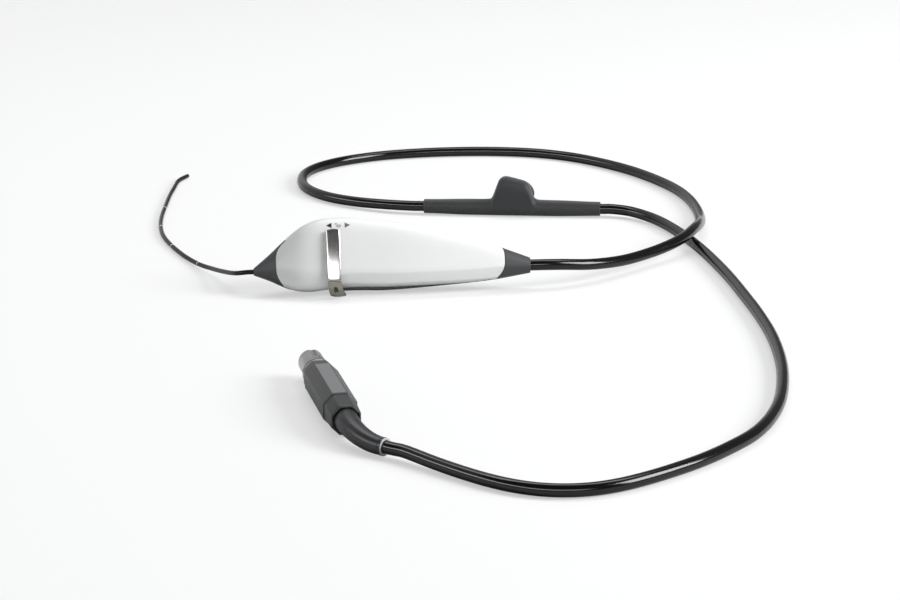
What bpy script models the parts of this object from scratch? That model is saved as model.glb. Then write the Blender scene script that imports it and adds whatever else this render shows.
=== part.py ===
# Flexible video endoscope, lying on a table. A handle with a one-armed lever carries a thin insertion
# tube with a bending tip. A cable leaves its other end, passes through a sleeve with a vent port, and
# ends in a plug. X runs along the handle towards the cable, Z is up, and the table is at Z = 0.
import math

import bmesh
import bpy
import numpy as np
from mathutils import Matrix, Vector

MM = 0.001

# Clearances
SEAT_GAP = 0.3 * MM
RUNNING_GAP = 0.06 * MM

# Handle: outlines give a share of the handle's length and a size in millimetres
HANDLE_LENGTH = 156.4 * MM
HANDLE_LEAN = 24.0
HANDLE_SHIFT_Y = -1.94 * MM
TOP_EDGE = ((0.0, 1.9), (0.055, 8.4), (0.102, 15.7), (0.166, 23.8), (0.238, 28.3), (0.31, 29.1),
            (0.416, 27.7), (0.56, 24.3), (0.70, 19.2), (0.846, 13.0), (0.94, 7.8), (1.0, 4.3))
BOTTOM_EDGE = ((0.0, -1.9), (0.06, -5.4), (0.113, -9.1), (0.16, -11.4), (0.20, -11.8), (0.262, -10.9),
               (0.32, -10.0), (0.49, -10.1), (0.63, -9.6), (0.774, -8.6), (0.874, -7.2), (1.0, -4.3))
HALF_DEPTH = ((0.0, 1.9), (0.06, 6.0), (0.11, 9.4), (0.17, 12.6), (0.23, 13.9), (0.27, 14.0),
              (0.40, 14.0), (0.56, 13.2), (0.75, 10.6), (0.90, 7.6), (1.0, 4.3))
SQUARENESS = ((0.0, 2.0), (0.08, 2.3), (0.2, 3.4), (0.3, 3.8), (0.7, 3.6), (0.88, 2.8), (1.0, 2.0))
SEAM_DEPTH = 2.0 * MM
SHELL_WALL = 1.8 * MM
SHELL_START = 12.7 * MM
SHELL_END_FROM_TAIL = 14.8 * MM
EDGE_MIDDLE = 3.0 * MM
NOSE_EDGE_SPAN = 7.4 * MM
TAIL_EDGE_SPAN = 5.8 * MM
EDGE_ROUNDNESS = 7.3
EDGE_REACH = 6.0 * MM
SPIGOT_LENGTH = 9.0 * MM
SPIGOT_WALL = 1.4 * MM
CREASE_HEIGHT = 5.4 * MM
FACET_SLOPE = 0.95
FACET_RISE = (34.0 * MM, 50.0 * MM)
UNDER_LIP = 1.2 * MM
UNDER_LIP_RISE = (46.0 * MM, 52.0 * MM)
UNDER_LIP_FALL = (67.0 * MM, 122.0 * MM)
CUTTER_REACH = 45.0 * MM

# Lever: a strap across the face, and a thumb rest that curls round the lower edge
LEVER_STATION = 45.0 * MM
PIVOT_HEIGHT = 6.0 * MM
STRAP_TOP = 22.1 * MM
STRAP_BOTTOM = -7.0 * MM
STRAP_WIDTH = 7.6 * MM
STRAP_THICKNESS = 1.6 * MM
STRAP_LIFT = 1.0 * MM
STRAP_BOW_RADIUS = 110.0 * MM
STRAP_END_ARC = 0.7 * MM
STRAP_EDGE = 0.3 * MM
THUMB_BEND_RADIUS = 8.1 * MM
THUMB_WIDTH = 8.6 * MM
THUMB_STEP = 2.4 * MM
THUMB_END = -92.0
DIMPLE_TURN = -58.0
DIMPLE_RADIUS = 1.2 * MM
DIMPLE_DEPTH = 0.5 * MM
SHAFT_RADIUS = 2.5 * MM
SHAFT_PAST_PLATE = 1.6 * MM
BUSH_WALL = 1.2 * MM
BUSH_FLANGE = 1.2 * MM
DRUM_RADIUS = 6.5 * MM
DRUM_WIDTH = 3.6 * MM
DRUM_BACK = -3.0 * MM
DRUM_RIM = 0.8 * MM
DRUM_FLANGE = 0.7 * MM
CLIP_WALL = 1.4 * MM
CLIP_THICKNESS = 0.8 * MM
WIRE_RADIUS = 0.25 * MM
WIRE_CLEARANCE = 0.1 * MM
WIRE_FRONT = 18.0 * MM
WIRE_SPREAD = 0.9 * MM

# Inside the handle
CHASSIS_FACE = -5.4 * MM
CHASSIS_THICKNESS = 1.2 * MM
CHASSIS_START = 25.0 * MM
CHASSIS_END_FROM_TAIL = 28.4 * MM
CHASSIS_EDGE = 2.6 * MM
BOARD_END_FROM_TAIL = 42.4 * MM
BOARD_LENGTH = 48.0 * MM
BOARD_THICKNESS = 1.2 * MM
BOARD_HEIGHT = 14.0 * MM
BOARD_MIDDLE = 6.5 * MM
CONNECTOR_FROM_END = 2.0 * MM
CONNECTOR_SIZE = (9.0 * MM, 8.0 * MM, 3.2 * MM)
GUIDE_STATION = 27.0 * MM
GUIDE_LENGTH = 4.0 * MM
GUIDE_LOW = -3.6 * MM
GUIDE_HIGH = 9.6 * MM
GUIDE_WALL = 1.4 * MM
GUIDE_SLOT = 2.0 * MM
GUIDE_FRONT = 1.0 * MM
LEAD_RADIUS = 1.8 * MM
LEAD_DROP = 2.0 * MM
SCREW_STATIONS = (30.0 * MM, 62.0 * MM)
LAST_SCREW_FROM_TAIL = 36.4 * MM
SECOND_SCREW_LIFT = 8.0 * MM
SCREW_SHANK = 1.0 * MM
SCREW_HEAD = 2.1 * MM
SCREW_HEAD_HEIGHT = 1.5 * MM
SCREW_SUNK = 0.9 * MM
SCREW_HOLD = 0.2 * MM
BOSS_WALL = 1.0 * MM
BOSS_ROOT = 1.2 * MM

# Insertion tube and bending tip
TIP_RUN_ON = 36.0 * MM
TUBE_RADIUS = 1.35 * MM
TUBE_HEIGHT = 1.45 * MM
VERTEBRAE = 6
VERTEBRA_PITCH = 2.7 * MM
VERTEBRA_RADIUS = 1.2 * MM
VERTEBRA_WALL = 0.22 * MM
VERTEBRA_GAP = 0.7 * MM
EAR_RADIUS = 0.4 * MM
EAR_ROOT = 0.35 * MM
EAR_THICKNESS = 0.18 * MM
EAR_PLAY = 0.06 * MM
TIP_HEADING = 84.0
TIP_CURL = -20.0
HEAD_LENGTH = 6.4 * MM
HEAD_RADIUS = 1.32 * MM
HEAD_WALL = 0.2 * MM
HEAD_NECK = 0.8 * MM
CAMERA_LENGTH = 5.0 * MM
LENS_FIT = 0.03 * MM
OBJECTIVE_RADIUS = 0.46 * MM
OBJECTIVE_RISE = 0.42 * MM
LIGHT_RADIUS = 0.27 * MM
LIGHT_DROP = 0.48 * MM
LIGHT_SPREAD = 0.56 * MM
LENS_DEPTH = 0.5 * MM

# Cable, vent port and plug
SOCKET_DEPTH = 4.0 * MM
CABLE_RADIUS = 3.2 * MM
PORT_LENGTH = 110.8 * MM
PORT_RADIUS = 5.0 * MM
PORT_END_RADIUS = 4.4 * MM
PORT_LIP = 0.4 * MM
PORT_FLANK = 0.45
PORT_CENTRE = (84.4 * MM, 175.4 * MM)
PORT_HEADING = -10.1
HUMP_WIDTH = 27.6 * MM
HUMP_HEIGHT = 19.6 * MM
HUMP_DEPTH = 10.8 * MM
HUMP_ROUND = 2.6 * MM
HUMP_SHAPE = ((-0.68, 0.08), (-0.515, 0.17), (-0.435, 0.36), (-0.32, 0.80), (-0.27, 0.93), (-0.18, 1.0),
              (-0.06, 0.99), (0.245, 0.865), (0.325, 0.79), (0.40, 0.63), (0.465, 0.34), (0.56, 0.17),
              (0.72, 0.08))
VENT_RADIUS = 11.4 * MM
VENT_DEPTH = 5.5 * MM
VENT_HEIGHT = 7.2 * MM
VENT_ACROSS = 1.5 * MM
VENT_BORE = 3.0 * MM
VENT_BORE_DEPTH = 4.4 * MM
VENT_FACE = 1.6 * MM
VENT_FACE_DEPTH = 1.2 * MM
VENT_EDGE = 1.6 * MM
PIN_RADIUS = 1.4 * MM
PIN_TRAVEL = 1.5 * MM
PIN_HEAD = 0.9 * MM
PIN_PLAY = 0.25 * MM
PIN_SUNK = 1.6 * MM
SPRING_RADIUS = 2.3 * MM
SPRING_WALL = 0.8 * MM
SPRING_PLAY = 0.2 * MM
GRIP_LENGTH = 78.0 * MM
GRIP_ACROSS = 17.0 * MM
GRIP_FLAT = 0.45
GRIP_FRONT_TAPER = 8.0 * MM
GRIP_STEP_START = 17.0 * MM
GRIP_STEP_DEPTH = 0.6 * MM
GRIP_REAR_WIDTH = 14.6 * MM
GRIP_EDGE = 0.8 * MM
COLLAR_LENGTH = 5.0 * MM
COLLAR_RADIUS = 7.65 * MM
COLLAR_EDGE = 1.1 * MM
NOSE_LENGTH = 19.0 * MM
NOSE_RADIUS = 6.6 * MM
NOSE_WALL = 1.0 * MM
NOSE_MOUTH = 7.0 * MM
NOSE_EDGE = 0.5 * MM
KEY_WIDTH = 2.4 * MM
KEY_LENGTH = 10.0 * MM
KEY_DEPTH = 0.5 * MM
INSERT_SUNK = 1.0 * MM
PLUG_JOINT = (-36.0 * MM, -269.3 * MM)
PLUG_HEADING = 98.0
BOOT_LENGTH = 34.0 * MM
BOOT_RADIUS = 6.6 * MM
BOOT_END_RADIUS = 4.5 * MM
BOOT_FLANGE = 0.8 * MM
BOOT_FLANGE_LENGTH = 3.0 * MM
BOOT_TAPER = 0.7
RING_LENGTH = 1.6 * MM
RING_RISE = 0.25 * MM
BOOT_BEND = 40.0
TUBE_LEAD_OUT = (3.0 * MM,)
CABLE_LEAD_OUT = (3.0 * MM, 8.0 * MM)
BOOT_LEAD_OUT = (14.0 * MM, 7.0 * MM)

# Routes on the table, in millimetres: across, away and up
TUBE_ROUTE = ((-84.9, -0.7, 12.8), (-87.9, 3.4, 11.6), (-90.6, 10.0, 10.1), (-94.0, 19.4, 8.3),
              (-98.0, 31.0, 6.3), (-102.6, 44.2, 4.3), (-107.2, 55.6, 2.9), (-112.4, 69.0, 1.9),
              (-119.4, 88.0, 1.45), (-127.0, 113.0, 1.45), (-132.4, 137.7, 1.45), (-134.6, 163.0, 1.45),
              (-134.6, 187.0, 1.45), (-133.2, 212.0, 1.45), (-130.8, 246.0, 1.45))
LOOP_ROUTE = ((97.0, 0.6, 12.6), (115.0, 8.6, 10.2), (134.5, 24.0, 8.0), (153.0, 42.0, 7.6),
              (167.0, 55.4, 8.8), (177.4, 69.0, 10.0), (185.2, 86.0, 10.2), (191.7, 107.0, 8.0),
              (197.0, 134.0, 4.6), (199.8, 166.0, 3.25), (199.0, 196.0, 3.25), (194.7, 224.0, 3.25),
              (185.7, 252.8, 3.25), (173.0, 281.3, 3.25), (156.2, 307.0, 3.25), (138.1, 327.0, 3.25),
              (117.0, 341.0, 3.25), (92.3, 349.0, 3.25), (65.0, 352.0, 3.25), (37.6, 350.5, 3.25),
              (10.0, 344.0, 3.25), (-14.5, 331.0, 3.25), (-32.0, 314.0, 3.25), (-42.0, 294.0, 3.25),
              (-44.8, 273.0, 3.25), (-43.0, 253.4, 3.25), (-36.5, 236.0, 3.25), (-25.5, 219.5, 3.4),
              (-9.5, 204.0, 4.0), (8.0, 192.6, 4.7))
REAR_ROUTE = ((158.4, 158.4, 4.3), (170.8, 139.0, 3.5), (180.0, 106.0, 3.25), (187.0, 62.0, 3.25),
              (192.0, 8.0, 3.25), (194.3, -42.0, 3.25), (195.4, -88.0, 3.25), (194.4, -132.8, 3.25),
              (189.6, -183.0, 3.25), (180.4, -231.0, 3.25), (169.6, -265.0, 3.25), (156.6, -291.6, 3.25),
              (140.8, -312.4, 3.25), (125.8, -328.6, 3.25), (111.1, -341.4, 3.25), (97.4, -351.8, 3.25),
              (84.0, -360.0, 3.25), (71.2, -364.8, 3.25), (59.1, -365.8, 3.25), (47.3, -363.4, 3.25),
              (35.9, -357.4, 3.25), (24.6, -347.8, 3.25), (13.2, -335.5, 3.4), (2.2, -322.6, 3.8))


def clear_scene():
    for item in list(bpy.data.objects):
        bpy.data.objects.remove(item, do_unlink=True)


def material(name, colour, roughness, metallic=0.0):
    made = bpy.data.materials.get(name) or bpy.data.materials.new(name)
    made.use_nodes = True
    shader = made.node_tree.nodes["Principled BSDF"]
    shader.inputs["Base Color"].default_value = (*colour, 1.0)
    shader.inputs["Roughness"].default_value = roughness
    shader.inputs["Metallic"].default_value = metallic
    return made


def paints():
    """One material for each kind of surface."""
    return {
        "white": material("white_shell", (0.80, 0.82, 0.81), 0.35),
        "grey": material("grey_cone", (0.085, 0.09, 0.10), 0.5),
        "dark": material("dark_shell", (0.05, 0.055, 0.06), 0.5),
        "steel": material("satin_steel", (0.62, 0.61, 0.60), 0.3, 1.0),
        "black": material("black_jacket", (0.01, 0.01, 0.012), 0.25),
        "brass": material("brass", (0.72, 0.55, 0.28), 0.35, 1.0),
        "rubber": material("seal_rubber", (0.03, 0.03, 0.03), 0.7),
        "board": material("board_green", (0.03, 0.18, 0.08), 0.5),
        "plug": material("plug_grey", (0.12, 0.125, 0.13), 0.5),
        "glass": material("lens_glass", (0.30, 0.36, 0.42), 0.05),
    }


def frame_empty(name, location, turn=(0.0, 0.0, 0.0), parent=None):
    """A guide that places a group of pieces. It is not a piece itself."""
    empty = bpy.data.objects.new(name, None)
    bpy.context.collection.objects.link(empty)
    empty.location = location
    empty.rotation_euler = [math.radians(angle) for angle in turn]
    empty.parent = parent
    return empty


def add_piece(name, verts, faces, paint, parent=None, sharp=35.0):
    """A closed mesh with its faces turned outwards."""
    mesh = bpy.data.meshes.new(name)
    mesh.from_pydata([tuple(map(float, vert)) for vert in verts], [], faces)
    shape = bmesh.new()
    shape.from_mesh(mesh)
    bmesh.ops.recalc_face_normals(shape, faces=shape.faces[:])
    if shape.calc_volume(signed=True) < 0.0:
        bmesh.ops.reverse_faces(shape, faces=shape.faces[:])
    shape.to_mesh(mesh)
    shape.free()
    mesh.shade_smooth()
    mesh.set_sharp_from_angle(angle=math.radians(sharp))
    mesh.materials.append(paint)
    piece = bpy.data.objects.new(name, mesh)
    bpy.context.collection.objects.link(piece)
    piece.parent = parent
    return piece


def loft(name, rings, paint, parent=None):
    """Rings of equal count joined side by side, with a flat cap at each end."""
    rings = np.asarray(rings, float)
    count, around = rings.shape[:2]
    faces = []
    for k in range(count - 1):
        for i in range(around):
            j = (i + 1) % around
            faces.append((k * around + i, k * around + j, (k + 1) * around + j, (k + 1) * around + i))
    faces.append(tuple(range(around)))
    faces.append(tuple((count - 1) * around + i for i in range(around)))
    return add_piece(name, rings.reshape(-1, 3), faces, paint, parent)


def turned(name, profile, paint, parent=None, axis="X", sides=32, centre=(0.0, 0.0, 0.0)):
    """A closed profile of (along, radius) points turned round an axis. A radius of 0 makes a pole."""
    angles = np.linspace(0.0, 2.0 * np.pi, sides, endpoint=False)
    verts = []
    rows = []
    for along, radius in profile:
        if radius <= 0.0:
            rows.append([len(verts)] * sides)
            verts.append((along, 0.0, 0.0))
        else:
            rows.append(list(range(len(verts), len(verts) + sides)))
            verts.extend((along, radius * math.cos(a), radius * math.sin(a)) for a in angles)
    faces = []
    closed = profile[0][1] > 0.0 and profile[-1][1] > 0.0
    pairs = list(zip(rows, rows[1:] + rows[:1])) if closed else list(zip(rows, rows[1:]))
    for first, second in pairs:
        for i in range(sides):
            j = (i + 1) % sides
            corners = [first[i], first[j], second[j], second[i]]
            faces.append(tuple(dict.fromkeys(corners)))
    points = np.array(verts)
    if axis == "Y":
        points = points[:, [1, 0, 2]]
    if axis == "Z":
        points = points[:, [1, 2, 0]]
    return add_piece(name, points + np.array(centre), faces, paint, parent)


def rod(name, start, end, radius, paint, parent=None, axis="X", sides=24, centre=(0.0, 0.0, 0.0)):
    """A plain round bar from start to end along its axis."""
    profile = ((start, 0.0), (start, radius), (end, radius), (end, 0.0))
    return turned(name, profile, paint, parent, axis, sides, centre)


def block(name, low, high, paint, parent=None):
    """A box between two corners."""
    corners = [(x, y, z) for x in (low[0], high[0]) for y in (low[1], high[1]) for z in (low[2], high[2])]
    faces = [(0, 1, 3, 2), (4, 6, 7, 5), (0, 4, 5, 1), (2, 3, 7, 6), (0, 2, 6, 4), (1, 5, 7, 3)]
    return add_piece(name, corners, faces, paint, parent)


def prism(name, outline, low, high, paint, parent=None):
    """An (x, z) outline extruded along Y from low to high."""
    rings = [[(x, y, z) for x, z in outline] for y in (low, high)]
    return loft(name, rings, paint, parent)


def apply_boolean(piece, other, operation):
    """Cut, join or trim a piece with another body that is then only a guide."""
    step = piece.modifiers.new(operation.lower(), "BOOLEAN")
    step.operation = operation
    step.solver = "EXACT"
    step.object = other
    other.hide_render = True
    other.display_type = "WIRE"
    return piece


def cut(piece, other):
    return apply_boolean(piece, other, "DIFFERENCE")


def join(piece, other):
    return apply_boolean(piece, other, "UNION")


def soften(piece, width, segments=2):
    """Round off the sharp edges."""
    step = piece.modifiers.new("soften", "BEVEL")
    step.width = width
    step.segments = segments
    step.limit_method = "ANGLE"
    step.angle_limit = math.radians(40.0)
    return piece


def smooth_value(table, x, unit=MM):
    """A smooth curve through (share of the handle's length, value) points."""
    knots = np.array(table, float)
    places = knots[:, 0] * HANDLE_LENGTH
    values = knots[:, 1] * unit
    slopes = np.gradient(values, places)
    i = int(np.clip(np.searchsorted(places, x, side="right") - 1, 0, len(places) - 2))
    span = places[i + 1] - places[i]
    t = (x - places[i]) / span
    return float((2 * t**3 - 3 * t**2 + 1) * values[i] + (t**3 - 2 * t**2 + t) * span * slopes[i]
                 + (3 * t**2 - 2 * t**3) * values[i + 1] + (t**3 - t**2) * span * slopes[i + 1])


def ease(value, low, high):
    """0 below low, 1 above high, and a smooth rise between."""
    t = min(max((value - low) / (high - low), 0.0), 1.0)
    return t * t * (3.0 - 2.0 * t)


def seam(x):
    """Depth of the joint between the two shells, behind the tube's axis."""
    return -min(SEAM_DEPTH, 0.25 * smooth_value(HALF_DEPTH, x))


def under_lip(x):
    """How far the back shell's lower edge stands below the front shell's."""
    return UNDER_LIP * ease(x, *UNDER_LIP_RISE) * (1.0 - ease(x, *UNDER_LIP_FALL))


def rounded(top, bottom, depth, power, angles):
    """Points of a squared ellipse, from its top round one side to its bottom."""
    middle = (top + bottom) / 2.0
    half = (top - bottom) / 2.0
    cosine = np.cos(angles)
    heights = middle + half * np.sign(cosine) * np.abs(cosine)**power
    return heights, depth * np.abs(np.sin(angles))**power


def front_outline(x, inset=0.0, past_seam=0.0):
    """(height, depth) points of the face half: flat face, a crease, and a facet that turns under."""
    top = smooth_value(TOP_EDGE, x) - inset
    bottom = smooth_value(BOTTOM_EDGE, x) + inset
    depth = smooth_value(HALF_DEPTH, x) - inset
    power = 2.0 / smooth_value(SQUARENESS, x, 1.0)
    crease = min(CREASE_HEIGHT, 0.3 * (top - bottom))
    share = 1.0 - 2.0 * crease / (top - bottom)
    turn = math.pi - math.acos(share**(1.0 / power))
    angles = np.concatenate((np.linspace(0.0, turn, 10), np.linspace(turn, math.pi, 6)[1:]))
    heights, depths = rounded(top, bottom, depth, power, angles)
    slope = FACET_SLOPE * ease(x, *FACET_RISE)
    facet = depths[9] - slope * (heights[9] - heights)
    depths = np.where(heights < heights[9], np.minimum(depths, np.maximum(facet, 0.0)), depths)
    back = seam(x) - past_seam
    return [(top, back), *zip(heights, depths), (bottom, back)]


def back_outline(x, inset=0.0, past_seam=0.0):
    """(height, depth) points of the hidden half, from its top edge round the back."""
    top = smooth_value(TOP_EDGE, x) - inset
    bottom = smooth_value(BOTTOM_EDGE, x) - under_lip(x) + inset
    depth = smooth_value(HALF_DEPTH, x) + seam(x) - inset
    power = 2.0 / smooth_value(SQUARENESS, x, 1.0)
    heights, depths = rounded(top, bottom, depth, power, np.linspace(0.0, math.pi, 15))
    points = [(height, seam(x) - reach) for height, reach in zip(heights, depths)]
    return [(top, seam(x) + past_seam), *points, (bottom, seam(x) + past_seam)]


def whole_outline(x, inset=0.0):
    """The closed outline of a cone: front points, then back points the other way round."""
    front = front_outline(x, inset)[1:-1]
    back = back_outline(x, inset)[::-1][1:-1]
    return front + back


def seam_shifted(x, inset=0.0, past=0.0):
    """The back shell's outline, drawn back from the seam by the seat gap."""
    points = back_outline(x, inset, past)
    if past == 0.0:
        points = [(height, min(depth, seam(x) - SEAT_GAP)) for height, depth in points]
        points = points[1:-1]
    return points


def place(x, height, depth):
    """Handle coordinates: from the nose tip, up the face, and out of the face."""
    return (x - HANDLE_LENGTH / 2.0, -depth, height)


def section_ring(x, outline):
    return [place(x, height, depth) for height, depth in outline]


def stations(start, end, step):
    return np.linspace(start, end, max(2, int(round((end - start) / step)) + 1))


def edge_curve(base, direction, span, low, high):
    """(x, height) points of the line where a cone meets the shells, bulging towards the cone."""
    heights = np.linspace(low, high, 33)
    bulge = np.minimum(np.abs(heights - EDGE_MIDDLE)**3 / (EDGE_ROUNDNESS * span**2), EDGE_REACH)
    return list(zip(base + direction * bulge, heights))


def end_cutter(name, at_nose, shift, keep_shell, paint, parent):
    """A prism that holds everything on one side of a cone's joint line."""
    reach = CUTTER_REACH
    if at_nose:
        curve = edge_curve(SHELL_START + shift, 1.0, NOSE_EDGE_SPAN, -reach, reach)
    else:
        curve = edge_curve(HANDLE_LENGTH - SHELL_END_FROM_TAIL + shift, -1.0, TAIL_EDGE_SPAN, -reach, reach)
    towards_nose = at_nose == keep_shell
    far = -HANDLE_LENGTH if towards_nose else 2.0 * HANDLE_LENGTH
    outline = [(x - HANDLE_LENGTH / 2.0, height) for x, height in curve]
    outline += [(far, reach), (far, -reach)]
    return prism(name, outline, -reach, reach, paint, parent)


def shell_half(name, outline, paint, parent):
    """One half of the casing: a loft, hollowed by a smaller loft and cut to the cones' joint lines."""
    outer = stations(SHELL_START - 2.0 * MM, HANDLE_LENGTH - SHELL_END_FROM_TAIL + 2.0 * MM, 5.2 * MM)
    inner = stations(SHELL_START - 4.0 * MM, HANDLE_LENGTH - SHELL_END_FROM_TAIL + 4.0 * MM, 8.5 * MM)
    half = loft(name, [section_ring(x, outline(x)) for x in outer], paint, parent)
    hollow = [section_ring(x, outline(x, SHELL_WALL, 2.0 * MM)) for x in inner]
    cut(half, loft(name + "_hollow", hollow, paint, parent))
    cut(half, end_cutter(name + "_nose_end", True, 0.0, True, paint, parent))
    cut(half, end_cutter(name + "_tail_end", False, 0.0, True, paint, parent))
    return half


def cone(name, at_nose, paint, parent):
    """A soft end cone with a spigot that fills the shells' mouth and a socket for its tube."""
    if at_nose:
        outer = stations(0.0, SHELL_START + 12.0 * MM, 3.2 * MM)
        inner = stations(SHELL_START - 3.0 * MM, SHELL_START + SPIGOT_LENGTH, 4.0 * MM)
        cavity = stations(2.0 * SOCKET_DEPTH, SHELL_START + SPIGOT_LENGTH + MM, 4.0 * MM)
        bore_radius = TUBE_RADIUS + SEAT_GAP
        bore = (-HANDLE_LENGTH / 2.0 - 1.0 * MM, -HANDLE_LENGTH / 2.0 + SOCKET_DEPTH)
    else:
        shell_end = HANDLE_LENGTH - SHELL_END_FROM_TAIL
        outer = stations(shell_end - 10.0 * MM, HANDLE_LENGTH, 3.4 * MM)
        inner = stations(shell_end - SPIGOT_LENGTH, shell_end + 3.0 * MM, 4.0 * MM)
        cavity = stations(shell_end - SPIGOT_LENGTH - MM, HANDLE_LENGTH - 2.0 * SOCKET_DEPTH, 4.0 * MM)
        bore_radius = CABLE_RADIUS + SEAT_GAP
        bore = (HANDLE_LENGTH / 2.0 - SOCKET_DEPTH, HANDLE_LENGTH / 2.0 + 1.0 * MM)
    body = loft(name, [section_ring(x, whole_outline(x)) for x in outer], paint, parent)
    shift = -SEAT_GAP if at_nose else SEAT_GAP
    cut(body, end_cutter(name + "_end", at_nose, shift, False, paint, parent))
    rings = [section_ring(x, whole_outline(x, SHELL_WALL + SEAT_GAP)) for x in inner]
    join(body, loft(name + "_spigot", rings, paint, parent))
    cut(body, rod(name + "_socket", bore[0], bore[1], bore_radius, paint, parent))
    hollow = [section_ring(x, whole_outline(x, SHELL_WALL + SEAT_GAP + SPIGOT_WALL)) for x in cavity]
    cut(body, loft(name + "_hollow", hollow, paint, parent))
    return body


def smooth_path(route, spacing):
    """Evenly spaced points on a smooth curve through the route's own points."""
    knots = np.array(route, float)
    before = 2.0 * knots[0] - knots[1]
    after = 2.0 * knots[-1] - knots[-2]
    padded = np.vstack((before, knots, after))
    fine = []
    for k in range(1, len(padded) - 2):
        p0, p1, p2, p3 = padded[k - 1:k + 3]
        t = np.linspace(0.0, 1.0, 24, endpoint=False)[:, None]
        fine.append(0.5 * (2 * p1 + (p2 - p0) * t + (2 * p0 - 5 * p1 + 4 * p2 - p3) * t**2
                           + (3 * p1 - p0 - 3 * p2 + p3) * t**3))
    fine = np.vstack((*fine, knots[-1:]))
    along = np.concatenate(([0.0], np.cumsum(np.linalg.norm(np.diff(fine, axis=0), axis=1))))
    marks = np.linspace(0.0, along[-1], int(round(along[-1] / spacing)) + 1)
    return np.column_stack([np.interp(marks, along, fine[:, k]) for k in range(3)])


def cord(name, route, radius, spacing, resolution, paint):
    """A round cord along a route, with filled ends."""
    points = smooth_path(route, spacing)
    curve = bpy.data.curves.new(name, "CURVE")
    curve.dimensions = "3D"
    curve.bevel_depth = radius
    curve.bevel_resolution = resolution
    curve.use_fill_caps = True
    spline = curve.splines.new("POLY")
    spline.points.add(len(points) - 1)
    for point, where in zip(spline.points, points):
        point.co = (*where, 1.0)
    curve.materials.append(paint)
    piece = bpy.data.objects.new(name, curve)
    bpy.context.collection.objects.link(piece)
    return piece


def resting_height():
    """Height of the tube's axis that lays the leaning back shell on the table."""
    lean = math.radians(HANDLE_LEAN)
    lowest = 0.0
    for x in stations(SHELL_START, HANDLE_LENGTH - SHELL_END_FROM_TAIL, 2.0 * MM):
        for height, depth in back_outline(x) + front_outline(x):
            lowest = min(lowest, height * math.cos(lean) + depth * math.sin(lean))
    return -lowest


def strap_depth(height):
    """Depth of the strap's underside: the face's depth, a lift, and a gentle bow along the strap."""
    middle = (STRAP_TOP + STRAP_BOTTOM) / 2.0
    face = smooth_value(HALF_DEPTH, LEVER_STATION)
    return face + STRAP_LIFT - (height - middle)**2 / (2.0 * STRAP_BOW_RADIUS)


def strap_ring(height, depth, tilt, width, arc=0.0, aside=0.0):
    """Six corners of the strap's section. tilt turns its outward side down the path."""
    outward = np.array((0.0, -math.cos(tilt), math.sin(tilt)))
    along = np.array((0.0, math.sin(tilt), math.cos(tilt)))
    inner = np.array((aside, -depth, height - PIVOT_HEIGHT))
    ring = []
    for lift, sides in ((0.0, (-1, 0, 1)), (STRAP_THICKNESS, (1, 0, -1))):
        for side in sides:
            reach = arc * (1.0 - abs(side))
            ring.append(inner + outward * lift + along * reach + np.array((side * width / 2.0, 0.0, 0.0)))
    return ring


def lever_arm(paint, parent):
    """The straight strap, slightly bowed, with an arched top end."""
    rings = []
    heights = np.linspace(STRAP_TOP, STRAP_BOTTOM, 10)
    middle = (STRAP_TOP + STRAP_BOTTOM) / 2.0
    for k, height in enumerate(heights):
        tilt = (height - middle) / STRAP_BOW_RADIUS
        arc = STRAP_END_ARC if k == 0 else 0.0
        rings.append(strap_ring(height, strap_depth(height), tilt, STRAP_WIDTH, arc))
    return soften(loft("lever_arm", rings, paint, parent), STRAP_EDGE)


def thumb_rest(paint, parent):
    """The curled plate under the strap. It steps aside as it rounds the handle's lower edge."""
    middle = (STRAP_TOP + STRAP_BOTTOM) / 2.0
    start = (STRAP_BOTTOM - SEAT_GAP - middle) / STRAP_BOW_RADIUS
    base = strap_depth(STRAP_BOTTOM - SEAT_GAP)
    centre_height = STRAP_BOTTOM - SEAT_GAP - THUMB_BEND_RADIUS * math.sin(start)
    centre_depth = base - THUMB_BEND_RADIUS * math.cos(start)
    rings = []
    for share in np.linspace(0.0, 1.0, 10):
        tilt = start + (math.radians(THUMB_END) - start) * share
        height = centre_height + THUMB_BEND_RADIUS * math.sin(tilt)
        depth = centre_depth + THUMB_BEND_RADIUS * math.cos(tilt)
        width = STRAP_WIDTH + (THUMB_WIDTH - STRAP_WIDTH) * share
        rings.append(strap_ring(height, depth, tilt, width, aside=thumb_step(share)))
    rest = soften(loft("thumb_rest", rings, paint, parent), STRAP_EDGE)
    tilt = math.radians(DIMPLE_TURN)
    share = (tilt - start) / (math.radians(THUMB_END) - start)
    outer = THUMB_BEND_RADIUS + STRAP_THICKNESS
    where = (thumb_step(share), -centre_depth - outer * math.cos(tilt),
             centre_height - PIVOT_HEIGHT + outer * math.sin(tilt))
    guide = frame_empty("dimple_frame", where, (90.0 - DIMPLE_TURN, 0.0, 0.0), parent)
    profile = ((-DIMPLE_DEPTH, 0.0), (-DIMPLE_DEPTH, DIMPLE_RADIUS / 2.0), (0.0, DIMPLE_RADIUS),
               (DIMPLE_DEPTH, DIMPLE_RADIUS), (DIMPLE_DEPTH, 0.0))
    cut(rest, turned("thumb_dimple", profile, paint, guide, "Z", 20))
    return rest


def thumb_step(share):
    """How far the thumb piece has stepped aside, by its share of the way round."""
    return THUMB_STEP * share**1.5


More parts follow.
